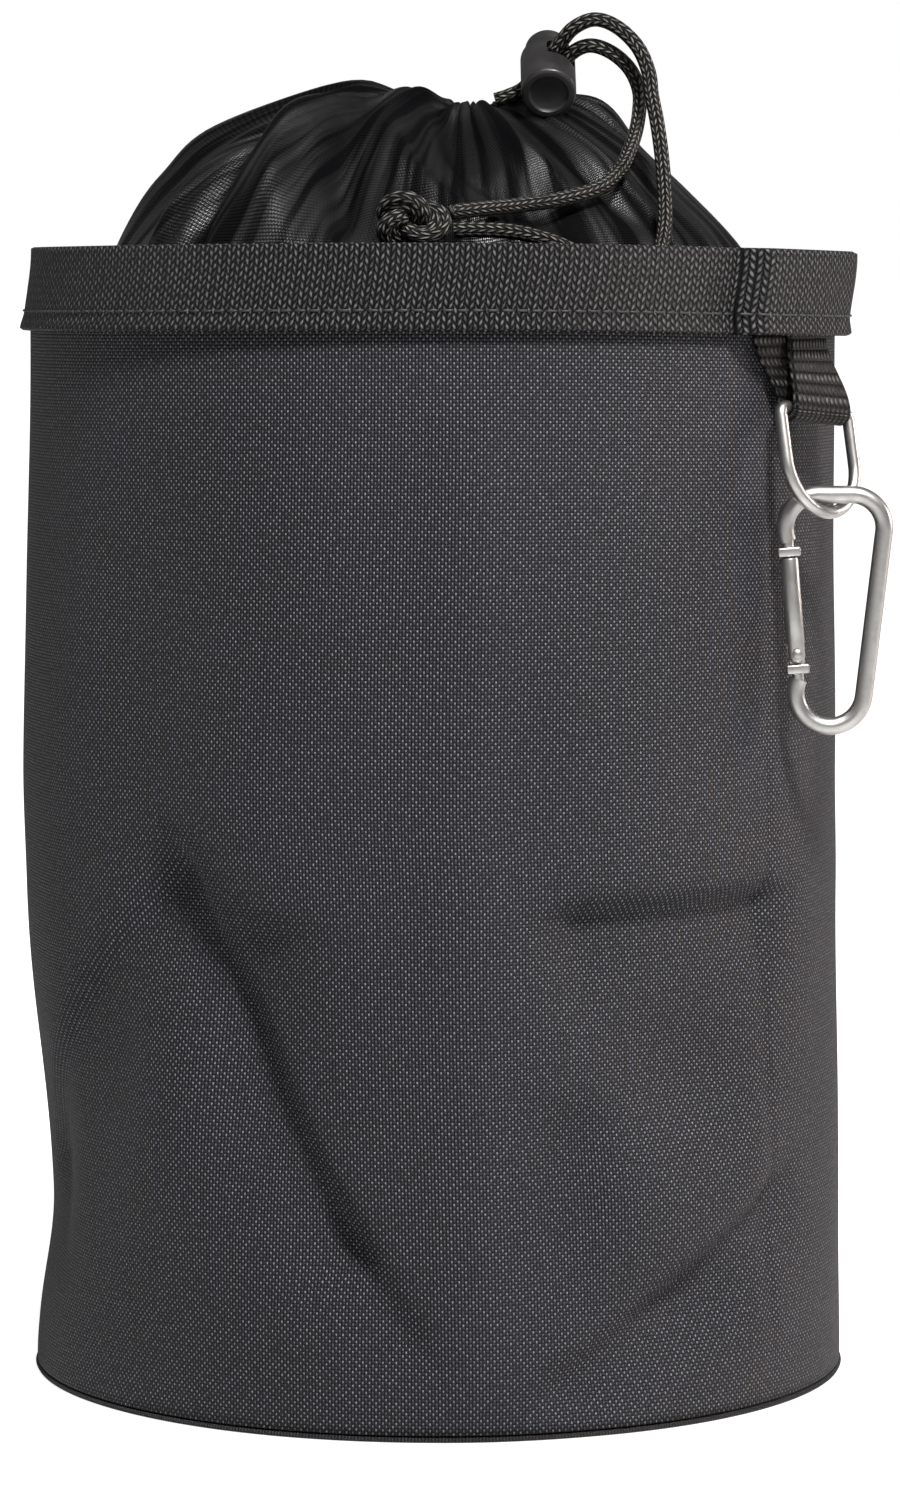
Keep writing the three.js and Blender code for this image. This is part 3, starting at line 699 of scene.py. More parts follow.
def new_material(name: str) -> tuple[bpy.types.Material, Nodes, bpy.types.Node]:
    """Starts a material.

    Args:
        name: the material's name.

    Returns:
        The material, a maker of nodes in it and its Principled BSDF.
    """
    material = bpy.data.materials.new(name)
    material.use_nodes = True
    n = Nodes(material.node_tree)
    return material, n, material.node_tree.nodes["Principled BSDF"]


def bump(n: Nodes, height: object, distance: float, strength: float = 1.0) -> bpy.types.NodeSocket:
    """Adds a Bump node.

    Args:
        n: the maker of nodes.
        height: the height to read.
        distance: how deep a height of 1 is, in metres.
        strength: how much of the bump shows.

    Returns:
        The bumped normal.
    """
    node = n.add("ShaderNodeBump")
    node.inputs["Strength"].default_value = strength
    node.inputs["Distance"].default_value = distance
    n.put(node.inputs["Height"], height)
    return node.outputs[0]


@dataclass(frozen=True)
class ClothFinish:
    """Coated cloth in a plain weave."""

    name: str = "coated_cloth"
    pitch: float = 0.00078
    dark: tuple[float, float, float] = (0.002, 0.002, 0.0024)
    light: tuple[float, float, float] = (0.0215, 0.0218, 0.0268)
    glint: tuple[float, float, float] = (0.27, 0.27, 0.31)
    roughness: float = 0.6
    sheen: float = 0.03
    sheen_roughness: float = 0.4
    sheen_tint: tuple[float, float, float] = (0.9, 0.66, 0.5)
    specular: float = 0.2
    glint_share: float = 0.7
    depth: float = 0.0003

    def material(self, weave: bpy.types.NodeTree, cloud: bpy.types.NodeTree) -> bpy.types.Material:
        """Builds the material.

        Args:
            weave: the group of crossing threads.
            cloud: the group of slow changes.

        Returns:
            The material.
        """
        material, n, shader = new_material(self.name)
        uv = n.add("ShaderNodeUVMap", uv_map="cloth").outputs[0]
        threads = n.group(weave, Vector=uv, Pitch=self.pitch, Fleck=self.glint_share)
        slow = n.group(cloud, Vector=n.add("ShaderNodeTexCoord").outputs["Object"], Scale=14.0)
        # the colour is darker down in the hollows between threads, a painted shade, and lighter on the thread
        # crests, with a slow random change in tone
        share = n.math("MULTIPLY", threads.outputs["Height"], n.span(slow.outputs[0], 0.0, 1.0, 0.75, 1.0))
        base = n.blend(share, colour(*self.dark), colour(*self.light))
        # brighter painted glints on the warp crests go over that colour
        n.put(shader.inputs["Base Color"], n.blend(threads.outputs["Fleck"], base, colour(*self.glint)))
        shader.inputs["Roughness"].default_value = self.roughness
        shader.inputs["Sheen Weight"].default_value = self.sheen
        shader.inputs["Sheen Roughness"].default_value = self.sheen_roughness
        shader.inputs["Sheen Tint"].default_value = colour(*self.sheen_tint)
        shader.inputs["Specular IOR Level"].default_value = self.specular
        n.put(shader.inputs["Normal"], bump(n, threads.outputs["Height"], self.depth))
        return material


@dataclass(frozen=True)
class WebbingFinish:
    """Woven webbing or braid with rows of stitches."""

    name: str = "webbing"
    row: float = 0.0012
    step: float = 0.00186
    lean: float = 0.55
    upright: bool = True
    dark: tuple[float, float, float] = (0.0012, 0.0012, 0.0013)
    light: tuple[float, float, float] = (0.0085, 0.008, 0.0083)
    glint: tuple[float, float, float] = (0.142, 0.136, 0.14)
    glint_share: float = 0.8
    alternate: float = 0.0
    roughness: float = 0.55
    specular: float = 0.2
    sheen: float = 0.008
    sheen_tint: tuple[float, float, float] = (0.9, 0.7, 0.55)
    depth: float = 0.0006

    def material(self, rows: bpy.types.NodeTree, cloud: bpy.types.NodeTree) -> bpy.types.Material:
        """Builds the material.

        Args:
            rows: the group of slanting stitches.
            cloud: the group of slow changes.

        Returns:
            The material.
        """
        material, n, shader = new_material(self.name)
        uv = n.add("ShaderNodeUVMap", uv_map="cloth").outputs[0]
        if self.upright:
            split, swapped = n.add("ShaderNodeSeparateXYZ"), n.add("ShaderNodeCombineXYZ")
            n.put(split.inputs[0], uv)
            n.put(swapped.inputs[0], split.outputs[1])
            n.put(swapped.inputs[1], split.outputs[0])
            uv = swapped.outputs[0]
        stitches = n.group(rows, Vector=uv, Row=self.row, Step=self.step, Slant=self.lean)
        n.put(stitches.inputs["Fleck"], self.glint_share)
        n.put(stitches.inputs["Alternate"], self.alternate)
        slow = n.group(cloud, Vector=n.add("ShaderNodeTexCoord").outputs["Object"], Scale=30.0)
        # the colour is darker down between the stitches, a painted shade, and lighter on them, with a slow
        # random change in tone
        share = n.math("MULTIPLY", stitches.outputs["Height"], n.span(slow.outputs[0], 0.0, 1.0, 0.6, 1.0))
        base = n.blend(share, colour(*self.dark), colour(*self.light))
        # brighter painted glints on the stitch crests go over that colour
        n.put(shader.inputs["Base Color"], n.blend(stitches.outputs["Fleck"], base, colour(*self.glint)))
        shader.inputs["Roughness"].default_value = self.roughness
        shader.inputs["Specular IOR Level"].default_value = self.specular
        shader.inputs["Sheen Weight"].default_value = self.sheen
        shader.inputs["Sheen Tint"].default_value = colour(*self.sheen_tint)
        n.put(shader.inputs["Normal"], bump(n, stitches.outputs["Height"], self.depth))
        return material


@dataclass(frozen=True)
class LiningFinish:
    """Thin nylon with a satin shine."""

    name: str = "lining_cloth"
    pitch: float = 0.00055
    dark: tuple[float, float, float] = (0.0008, 0.0008, 0.001)
    light: tuple[float, float, float] = (0.0035, 0.0035, 0.004)
    roughness_span: tuple[float, float] = (0.27, 0.4)
    depth: float = 0.00009
    streak: float = 0.00045
    streak_scale: float = 130.0
    streak_squeeze: float = 0.14

    def material(self, weave: bpy.types.NodeTree, cloud: bpy.types.NodeTree) -> bpy.types.Material:
        """Builds the material.

        Args:
            weave: the group of crossing threads.
            cloud: the group of slow changes.

        Returns:
            The material.
        """
        material, n, shader = new_material(self.name)
        uv = n.add("ShaderNodeUVMap", uv_map="cloth").outputs[0]
        threads = n.group(weave, Vector=uv, Pitch=self.pitch, Fleck=0.5)
        place = n.add("ShaderNodeTexCoord").outputs["Object"]
        slow = n.group(cloud, Vector=place, Scale=40.0)
        height = threads.outputs["Height"]
        # the colour is darker in the hollows between threads, a painted shade, and lighter on the crests
        n.put(shader.inputs["Base Color"], n.blend(height, colour(*self.dark), colour(*self.light)))
        low, high = self.roughness_span
        n.put(shader.inputs["Roughness"], n.span(slow.outputs[0], 0.0, 1.0, low, high))
        stretched = n.add("ShaderNodeMapping")
        n.put(stretched.inputs["Vector"], uv)
        stretched.inputs["Scale"].default_value = (1.0, self.streak_squeeze, 1.0)
        streaks = n.noise(stretched.outputs[0], self.streak_scale, 4.0)
        shine = n.span(streaks, 0.42, 0.62, 0.05, 1.0)
        grain = n.math("MULTIPLY", shine, n.span(height, 0.2, 0.9, 0.25, 1.0))
        n.put(shader.inputs["Specular IOR Level"], grain)
        fine = bump(n, height, self.depth)
        soft = n.add("ShaderNodeBump")
        soft.inputs["Distance"].default_value = self.streak
        n.put(soft.inputs["Height"], streaks)
        n.put(soft.inputs["Normal"], fine)
        n.put(shader.inputs["Normal"], soft.outputs[0])
        return material


@dataclass(frozen=True)
class PlasticFinish:
    """Dark moulded plastic."""

    name: str = "lock_plastic"
    base: tuple[float, float, float] = (0.012, 0.0108, 0.0115)
    roughness: float = 0.34
    roughness_change: float = 0.14
    lighter: float = 1.6
    grain_scale: float = 2600.0
    depth: float = 0.00004

    def material(self, cloud: bpy.types.NodeTree) -> bpy.types.Material:
        """Builds the material.

        Args:
            cloud: the group of slow changes.

        Returns:
            The material.
        """
        material, n, shader = new_material(self.name)
        place = n.add("ShaderNodeTexCoord").outputs["Object"]
        slow = n.group(cloud, Vector=place, Scale=160.0)
        light = tuple(self.lighter * c for c in self.base)
        n.put(shader.inputs["Base Color"], n.blend(slow.outputs[0], colour(*self.base), colour(*light)))
        rough = n.span(slow.outputs[0], 0.0, 1.0, self.roughness, self.roughness + self.roughness_change)
        n.put(shader.inputs["Roughness"], rough)
        n.put(shader.inputs["Normal"], bump(n, n.noise(place, self.grain_scale, 2.0), self.depth, 0.6))
        return material


@dataclass(frozen=True)
class MetalFinish:
    """Satin nickel plating with fine scratches."""

    name: str = "hardware_metal"
    base: tuple[float, float, float] = (0.52, 0.51, 0.495)
    worn: tuple[float, float, float] = (0.4, 0.388, 0.372)
    roughness: float = 0.34
    worn_roughness: float = 0.44
    scratch_scale: float = 1400.0
    scratch_depth: float = 0.00003

    def material(self, cloud: bpy.types.NodeTree) -> bpy.types.Material:
        """Builds the material.

        Args:
            cloud: the group of slow changes.

        Returns:
            The material.
        """
        material, n, shader = new_material(self.name)
        place = n.add("ShaderNodeTexCoord").outputs["Object"]
        slow = n.group(cloud, Vector=place, Scale=220.0)
        n.put(shader.inputs["Base Color"], n.blend(slow.outputs[0], colour(*self.worn), colour(*self.base)))
        shader.inputs["Metallic"].default_value = 1.0
        rough = n.span(slow.outputs[0], 0.0, 1.0, self.worn_roughness, self.roughness)
        n.put(shader.inputs["Roughness"], rough)
        scratches = n.noise(place, self.scratch_scale, 3.0)
        n.put(shader.inputs["Normal"], bump(n, scratches, self.scratch_depth, 0.2))
        return material


@dataclass(frozen=True)
class FloorFinish:
    """A pale, slightly glossy table top."""

    name: str = "pale_floor"
    grey: float = 0.8
    roughness: float = 0.25
    specular: float = 0.3
    bounce: float = 0.07
    glow_near: float = 0.84
    glow_far: float = 1.1
    near: float = 0.12
    far: float = 0.5

    def material(self) -> bpy.types.Material:
        """Builds the material, which is paler farther off, so that it meets the background unseen."""
        material, n, shader = new_material(self.name)
        shader.inputs["Base Color"].default_value = colour(self.grey, self.grey, self.grey)
        shader.inputs["Roughness"].default_value = self.roughness
        shader.inputs["Specular IOR Level"].default_value = self.specular
        shader.inputs["Emission Color"].default_value = colour(1, 1, 1)
        distance = n.add("ShaderNodeVectorMath", operation="LENGTH")
        n.put(distance.inputs[0], n.add("ShaderNodeTexCoord").outputs["Object"])
        shown = n.span(distance.outputs["Value"], self.near, self.far, self.glow_near, self.glow_far)
        # the floor glows: to the camera it is paler farther off; to every other ray it gives a faint glow, a
        # painted bounce light that lights the bag from below
        seen = n.add("ShaderNodeLightPath").outputs["Is Camera Ray"]
        more = n.math("MULTIPLY", seen, n.math("SUBTRACT", shown, self.bounce))
        n.put(shader.inputs["Emission Strength"], n.math("ADD", more, self.bounce))
        return material


class Finishes:
    """Every finish of the bag, built once."""

    def __init__(self) -> None:
        """Builds the node groups and the materials on them."""
        weave, rows, cloud = plain_weave_group(), chevron_group(), handling_group()
        self.cloth = ClothFinish().material(weave, cloud)
        self.webbing = WebbingFinish().material(rows, cloud)
        # the loop webbing and the cord share the webbing's painted shade between stitches and its painted
        # glints on the stitch crests
        self.strap = WebbingFinish(
            name="loop_webbing",
            upright=False,
            row=0.0017,
            step=0.00205,
            lean=0.0,
            alternate=0.75,
            light=(0.004, 0.0036, 0.0036),
            glint=(0.125, 0.114, 0.104),
            glint_share=0.9,
        ).material(rows, cloud)
        thread = PlasticFinish(name="thread", base=(0.016, 0.0155, 0.016), roughness=0.5)
        self.thread = thread.material(cloud)
        self.lining = LiningFinish().material(weave, cloud)
        self.cord = WebbingFinish(
            name="cord",
            upright=False,
            row=0.0011,
            step=0.0021,
            lean=0.9,
            light=(0.004, 0.0037, 0.0036),
            glint=(0.2, 0.187, 0.165),
            glint_share=0.9,
            depth=0.0005,
        ).material(rows, cloud)
        self.plastic = PlasticFinish().material(cloud)
        self.metal = MetalFinish().material(cloud)
        self.floor = FloorFinish().material()


@dataclass
class Studio:
    """The camera at the photograph's angle, the floor and the lights."""

    camera_at: tuple[float, float, float] = (0.00305, -1.34, 0.2765)
    camera_pitch: float = 5.304
    lens: float = 131.6
    sensor: float = 36.0
    floor_size: float = 60.0
    lit_middle: tuple[float, float, float] = (0.0, 0.0, 0.17)
    room_light: float = 0.035
    room_shine: float = 0.13

    def build_camera(self) -> None:
        """Makes the camera."""
        data = bpy.data.cameras.new("camera")
        data.lens = self.lens
        data.sensor_width = self.sensor
        data.sensor_fit = "AUTO"
        data.clip_start = 0.01
        camera = bpy.data.objects.new("camera", data)
        camera.location = self.camera_at
        camera.rotation_euler = (math.radians(90 - self.camera_pitch), 0, 0)
        bpy.context.scene.collection.objects.link(camera)
        bpy.context.scene.camera = camera

    def build_light(
        self,
        name: str,
        at: Sequence[float],
        to: Sequence[float],
        size: float,
        power: float,
        tint: tuple[float, float, float] = (1.0, 1.0, 1.0),
    ) -> None:
        """Makes a soft square light.

        Args:
            name: its name.
            at: where it stands.
            to: the point that it faces.
            size: its side in metres.
            power: its power in watts.
            tint: its colour.
        """
        data = bpy.data.lights.new(name, "AREA")
        data.color = tint
        data.energy = power
        data.size = size
        light = bpy.data.objects.new(name, data)
        light.location = at
        light.rotation_euler = (Vector(to) - Vector(at)).to_track_quat("-Z", "Y").to_euler()
        bpy.context.scene.collection.objects.link(light)

    def build(self, finishes: Finishes) -> None:
        """Makes the camera, floor, background and lights.

        Args:
            finishes: the finishes, for the floor.
        """
        self.build_camera()
        bm = bmesh.new()
        bmesh.ops.create_grid(bm, x_segments=1, y_segments=1, size=self.floor_size / 2)
        mesh = bpy.data.meshes.new("floor")
        bm.to_mesh(mesh)
        bm.free()
        mesh.materials.append(finishes.floor)
        floor = bpy.data.objects.new("floor", mesh)
        bpy.context.scene.collection.objects.link(floor)
        middle = self.lit_middle
        self.build_light("key", (0.5, -1.15, 1.75), middle, 0.35, 70)
        self.build_light("top", (-0.2, -0.5, 1.6), middle, 0.3, 5)
        self.build_light("left", (-1.4, 0.75, 0.6), middle, 0.5, 0.8)
        self.build_light("right", (1.5, 0.4, 0.5), middle, 0.5, 11, (1.0, 0.88, 0.84))
        world = bpy.data.worlds.new("white_room")
        world.use_nodes = True
        bpy.context.scene.world = world
        n = Nodes(world.node_tree)
        back = world.node_tree.nodes["Background"]
        back.inputs["Color"].default_value = colour(1, 1, 1)
        ray = n.add("ShaderNodeLightPath").outputs
        seen = n.span(ray["Is Camera Ray"], 0.0, 1.0, self.room_light, 1.0)
        shine = n.math("MULTIPLY", ray["Is Glossy Ray"], self.room_shine)
        n.put(back.inputs["Strength"], n.math("ADD", seen, shine))
        bpy.context.scene.view_settings.view_transform = "Standard"


@dataclass
class WallShape:
    """The form of the cloth wall: sections, creases and dents, in millimetres and shares of them."""

    radius: float = 99.5
    bag_height: float = 276.0
    below_band_top: float = 0.8
    sag_left: float = 1.2
    sag_right: float = 2.5
    seam_angle: float = 53.5
    sections: list[Row] = field(
        default_factory=lambda: [
            {"height": 0.0, "shift": 0.002, "radius": 1.0},
            {"height": 0.436, "shift": -0.015, "radius": 1.0},
            {"height": 0.541, "shift": -0.021, "radius": 1.0},
            {"height": 0.927, "shift": -0.012, "radius": 0.986},
            {"height": 1.0, "shift": 0.009, "radius": 0.986},
        ]
    )
    creases: list[tuple[float, ...]] = field(
        default_factory=lambda: [
            # angle, height, to angle, to height, left width, right width, rise
            (5, 0.84, 5, 0.03, 0.1, 0.1, 0.012),
            (-37, 0.47, -80, 0.2, 0.26, 0.05, -0.02),
            (-37, 0.47, -12, 0.17, 0.04, 0.17, -0.028),
            (-12, 0.17, -5, 0.1, 0.04, 0.12, -0.016),
            (22, 0.435, 52, 0.44, 0.04, 0.2, -0.034),
            (26, 0.22, 48, 0.22, 0.2, 0.16, 0.014),
            (19, 0.05, 53, 0.18, 0.04, 0.15, -0.026),
        ]
    )
    dents: list[tuple[float, ...]] = field(
        default_factory=lambda: [
            # angle, height, side width, up, down, rise
            (-82, 0.15, 0.32, 0.42, 0.2, -0.062),
            (-50, 0.03, 0.3, 0.2, 0.2, -0.014),
            (160, 0.42, 0.34, 0.3, 0.26, -0.03),
            (-140, 0.3, 0.22, 0.32, 0.2, -0.022),
            (108, 0.2, 0.2, 0.22, 0.16, -0.022),
        ]
    )
    hollows: list[tuple[float, ...]] = field(
        default_factory=lambda: [
            # angle, height, side width, up, down, rise: the shaded sides of the folds
            (-28, 0.34, 0.12, 0.22, 0.4, -0.03),
            (-23, 0.41, 0.15, 0.08, 0.35, -0.04),
            (-52, 0.3, 0.14, 0.16, 0.3, -0.02),
            (36, 0.3, 0.26, 0.2, 0.22, -0.062),
            (20, 0.25, 0.12, 0.1, 0.3, -0.032),
            (38, 0.1, 0.2, 0.1, 0.22, -0.034),
            (-43, 0.62, 0.2, 0.45, 0.5, -0.026),
            (-8, 0.55, 0.3, 0.5, 0.5, 0.006),
        ]
    )

    @property
    def cloth_top(self) -> float:
        """The height of the cloth's upper edge."""
        return self.bag_height - self.below_band_top

    def section(self, z: float, name: str) -> float:
        """A section's radius or sideways shift at a height."""
        return column(self.sections, "height", z / self.cloth_top, name) * self.radius

    def crease_rise(self, crease: tuple[float, ...], angle: float, z: float) -> float:
        """The rise of one crease at a place on the wall.

        Args:
            crease: a row of the creases.
            angle: degrees from the front.
            z: the height.

        Returns:
            The rise in millimetres.
        """
        from_angle, from_height, to_angle, to_height, left, right, rise = crease
        arc = math.radians(turned(angle - from_angle)) * self.radius
        lift = z - from_height * self.cloth_top
        run_arc = math.radians(to_angle - from_angle) * self.radius
        run_lift = (to_height - from_height) * self.cloth_top
        length = math.hypot(run_arc, run_lift)
        along = (arc * run_arc + lift * run_lift) / length
        left_of = (run_arc * lift - run_lift * arc) / length
        width = (left if left_of > 0 else right) * self.radius
        past = max(0.0, -along, along - length)
        return rise * self.radius * hump(left_of, width) * hump(past, 0.1 * self.radius)

    def dent_rise(self, dent: tuple[float, ...], angle: float, z: float) -> float:
        """The rise of one round dent at a place on the wall.

        Args:
            dent: a row of the dents.
            angle: degrees from the front.
            z: the height.

        Returns:
            The rise in millimetres.
        """
        at, height, side, up, down, rise = dent
        arc = math.radians(turned(angle - at))
        lift = (z - height * self.cloth_top) / self.radius
        return rise * self.radius * hump(arc, side) * hump(lift, up if lift > 0 else down)

    def rise(self, angle: float, z: float) -> float:
        """The wall's whole rise at a place."""
        whole = sum(self.crease_rise(c, angle, z) for c in self.creases)
        whole += sum(self.dent_rise(d, angle, z) for d in self.dents)
        return whole * smooth((z + 2) / 14)

    def fine_rise(self, angle: float, z: float) -> float:
        """The wall's small forms: the side seam, sharper creases and slight waves."""
        arc = math.radians(turned(angle - self.seam_angle)) * self.radius
        seam = -0.8 * hump(arc, 1.1) * smooth((z - 6) / 20)
        turn = math.radians(angle)
        wave = 0.35 * math.sin(9 * turn + 0.02 * z) * math.sin(0.045 * z + 2 * math.sin(3 * turn))
        sharper = 0.6 * sum(self.crease_rise(c, angle, z) for c in self.creases)
        sharper += sum(self.dent_rise(d, angle, z) for d in self.hollows)
        return seam + sharper * smooth(z / 30) + wave * smooth(z / 40) * smooth((250 - z) / 60)

    def rim_sag(self, angle: float, z: float) -> float:
        """How far the rim sags at the sides, fading out down the wall."""
        side = math.sin(math.radians(angle))
        deepest = self.sag_right if side > 0 else self.sag_left
        return deepest * side**2 * smooth((z / self.bag_height - 0.6) / 0.3)

    def point(self, angle: float, z: float, stand_off: float = 0.0, fine: bool = False) -> Vector:
        """A point of the wall's outer face, or one that stands off it.

        Args:
            angle: degrees from the front.
            z: the height.
            stand_off: how far outside the wall.
            fine: whether the small forms are added.

        Returns:
            The point in millimetres.
        """
        radius = self.section(z, "radius") + self.rise(angle, z) + stand_off
        if fine:
            radius += self.fine_rise(angle, z)
        base = Vector((self.section(z, "shift"), 0, z - self.rim_sag(angle, z)))
        return away_facing(angle) * radius + base


@dataclass
class BagBody:
    """The wall and the base."""

    shape: WallShape
    wall: float = 1.5
    base_thickness: float = 1.5
    base_lip: float = 0.4
    steps: tuple[int, int] = (300, 130)

    def build_wall(self, finishes: Finishes) -> None:
        """Makes the wall.

        Args:
            finishes: the finishes of the bag.
        """
        low = self.base_thickness + GAP
        top = self.shape.cloth_top

        def place(u: float, v: float) -> Vector:
            """The wall's point at shares round and up it."""
            return self.shape.point(-180 + 360 * u, mix(low, top, v), 0, True)

        size = (2 * math.pi * self.shape.radius * MM, (top - low) * MM)
        made = piece(
            "wall_cloth",
            sheet_mesh(self.steps, place, size, "u"),
            finishes.cloth,
            Body.BAG,
            ["body_panel"],
        )
        thicken(made, self.wall)

    def build_base(self, finishes: Finishes) -> None:
        """Makes the base with its rounded, sewn edge.

        Args:
            finishes: the finishes of the bag.
        """
        low = self.base_thickness + GAP
        rows = [(0.0, 0.0), (0.985, 0.0), (0.997, 0.15), (1.0, 0.5), (0.997, 0.85), (0.985, 1.0), (0.0, 1.0)]

        def place(u: float, v: float) -> Vector:
            """The base's point at shares round it and over its edge."""
            share, lift = rows[round(v * (len(rows) - 1))]
            rim = self.shape.point(-180 + 360 * u, low, self.base_lip)
            middle = Vector((self.shape.section(low, "shift"), 0, 0))
            found = middle.lerp(rim, share)
            found.z = lift * self.base_thickness
            return found

        size = (2 * math.pi * self.shape.radius * MM, self.shape.radius * MM)
        bm = sheet_mesh((self.steps[0], len(rows) - 1), place, size, "u")
        bmesh.ops.remove_doubles(bm, verts=bm.verts, dist=MERGE)
        bmesh.ops.recalc_face_normals(bm, faces=bm.faces)
        piece("base_cloth", bm, finishes.cloth, Body.BAG, ["base_panel"], 40)

    def build(self, finishes: Finishes) -> None:
        """Makes the wall and the base."""
        self.build_wall(finishes)
        self.build_base(finishes)


def strip_section(share: float, width: float, thickness: float, edge: float) -> tuple[float, float]:
    """A point of a strip's rounded section.

    Args:
        share: how far round the section, from the lower edge up the outer face.
        width: the strip's width.
        thickness: its thickness.
        edge: the radius of its edges.

    Returns:
        The place across the strip from its lower edge, and out from its inner face.
    """
    flat_w, flat_t, arc = width - 2 * edge, thickness - 2 * edge, math.pi * edge / 2
    at = share * (2 * flat_w + 2 * flat_t + 4 * arc)
    corners = [
        (flat_w, (edge, thickness), (0, 1), (1, 0)),
        (flat_t, (width, thickness - edge), (1, 0), (0, -1)),
        (flat_w, (width - edge, 0), (0, -1), (-1, 0)),
        (flat_t, (0, edge), (-1, 0), (0, 1)),
    ]
    for length, start, out, run in corners:
        if at <= length:
            return start[0] + run[0] * at, start[1] + run[1] * at
        at -= length
        if at <= arc:
            turn = at / edge
            centre = (start[0] + run[0] * length - out[0] * edge, start[1] + run[1] * length - out[1] * edge)
            across = out[0] * math.cos(turn) + run[0] * math.sin(turn)
            away = out[1] * math.cos(turn) + run[1] * math.sin(turn)
            return centre[0] + edge * across, centre[1] + edge * away
        at -= arc
    return edge, thickness


@dataclass
class RimBand:
    """The webbing band round the rim, whose outer end lies over its start."""

    shape: WallShape
    width: float = 20.0
    thickness: float = 1.5
    edge: float = 0.5
    stitch_height: float = 4.7
    flare: float = 0.8
    end_angle: float = 44.0
    overlap: float = 58.0
    loop_from: float = 55.0
    loop_to: float = 61.5
    loop_thickness: float = 1.4
    loop_width: float = 20.0

    def loop_lift(self, angle: float) -> float:
        """How far the loop's two layers push the band off the wall."""
        half = math.degrees(self.loop_width / 2 / self.shape.radius)
        start = (turned(angle) - (self.loop_from - half - 5.5)) / 4
        stop = (self.loop_to + half + 5.5 - turned(angle)) / 4
        return (2 * self.loop_thickness + 4 * GAP) * min(smooth(start), smooth(stop))

    def point(self, angle: float, height: float, out: float) -> Vector:
        """A point of the band.

        Args:
            angle: degrees along the band from the front, past a full turn on its inner layer.
            height: above the band's lower edge.
            out: outside the inner face of its inner layer.

        Returns:
            The point in millimetres.
        """
        outer = smooth((self.end_angle + self.overlap - angle) / 10)
        rise = GAP + self.loop_lift(angle) + self.thickness * outer
        flared = self.flare * (1 - smooth(height / self.stitch_height))
        low = self.shape.bag_height - self.width
        return self.shape.point(angle, low + height, rise + out + flared)

    def build(self, finishes: Finishes) -> None:
        """Makes the band and its stitches.

        Args:
            finishes: the finishes of the bag.
        """
        whole = 360 + self.overlap

        def place(u: float, v: float) -> Vector:
            """The band's point at shares along it and round its section."""
            height, out = strip_section(v, self.width, self.thickness, self.edge)
            inner = self.end_angle + whole * u
            thin = 0.92 if inner > 360 + self.end_angle - 4 else 1.0
            pressed = 0.9 * (1 - smooth((inner - self.end_angle) / 1.5))
            return self.point(inner, height, out * thin - pressed)

        around = 2 * (self.width + self.thickness) - (8 - 2 * math.pi) * self.edge
        size = (math.radians(whole) * self.shape.radius * MM, around * MM)
        bm = sheet_mesh((500, 44), place, size, "v")
        fill_ends(bm)
        piece("rim_webbing", bm, finishes.webbing, Body.BAG, ["rim_band"])
        self.build_stitches(finishes)

    def build_stitches(self, finishes: Finishes) -> None:
        """Makes the row of stitches above the band's lower edge.

        Args:
            finishes: the finishes of the bag.
        """
        pitch, length, thread = 3.4, 2.6, 0.3
        count = round(2 * math.pi * self.shape.radius / pitch)
        parts = []
        for i in range(count):
            angle = self.end_angle + 1 + 360 * i / count
            half = math.degrees(length / 2 / self.shape.radius)
            line = []
            for share, out in ((-1, -0.25), (-0.55, 0.1), (0, 0.18), (0.55, 0.1), (1, -0.25)):
                on_band = self.point(angle + share * half, self.stitch_height, self.thickness)
                line.append(on_band + away_facing(angle) * out)
            parts.append(tube_mesh(line, thread, 6))
        piece("rim_stitches", joined(parts), finishes.thread, Body.BAG)


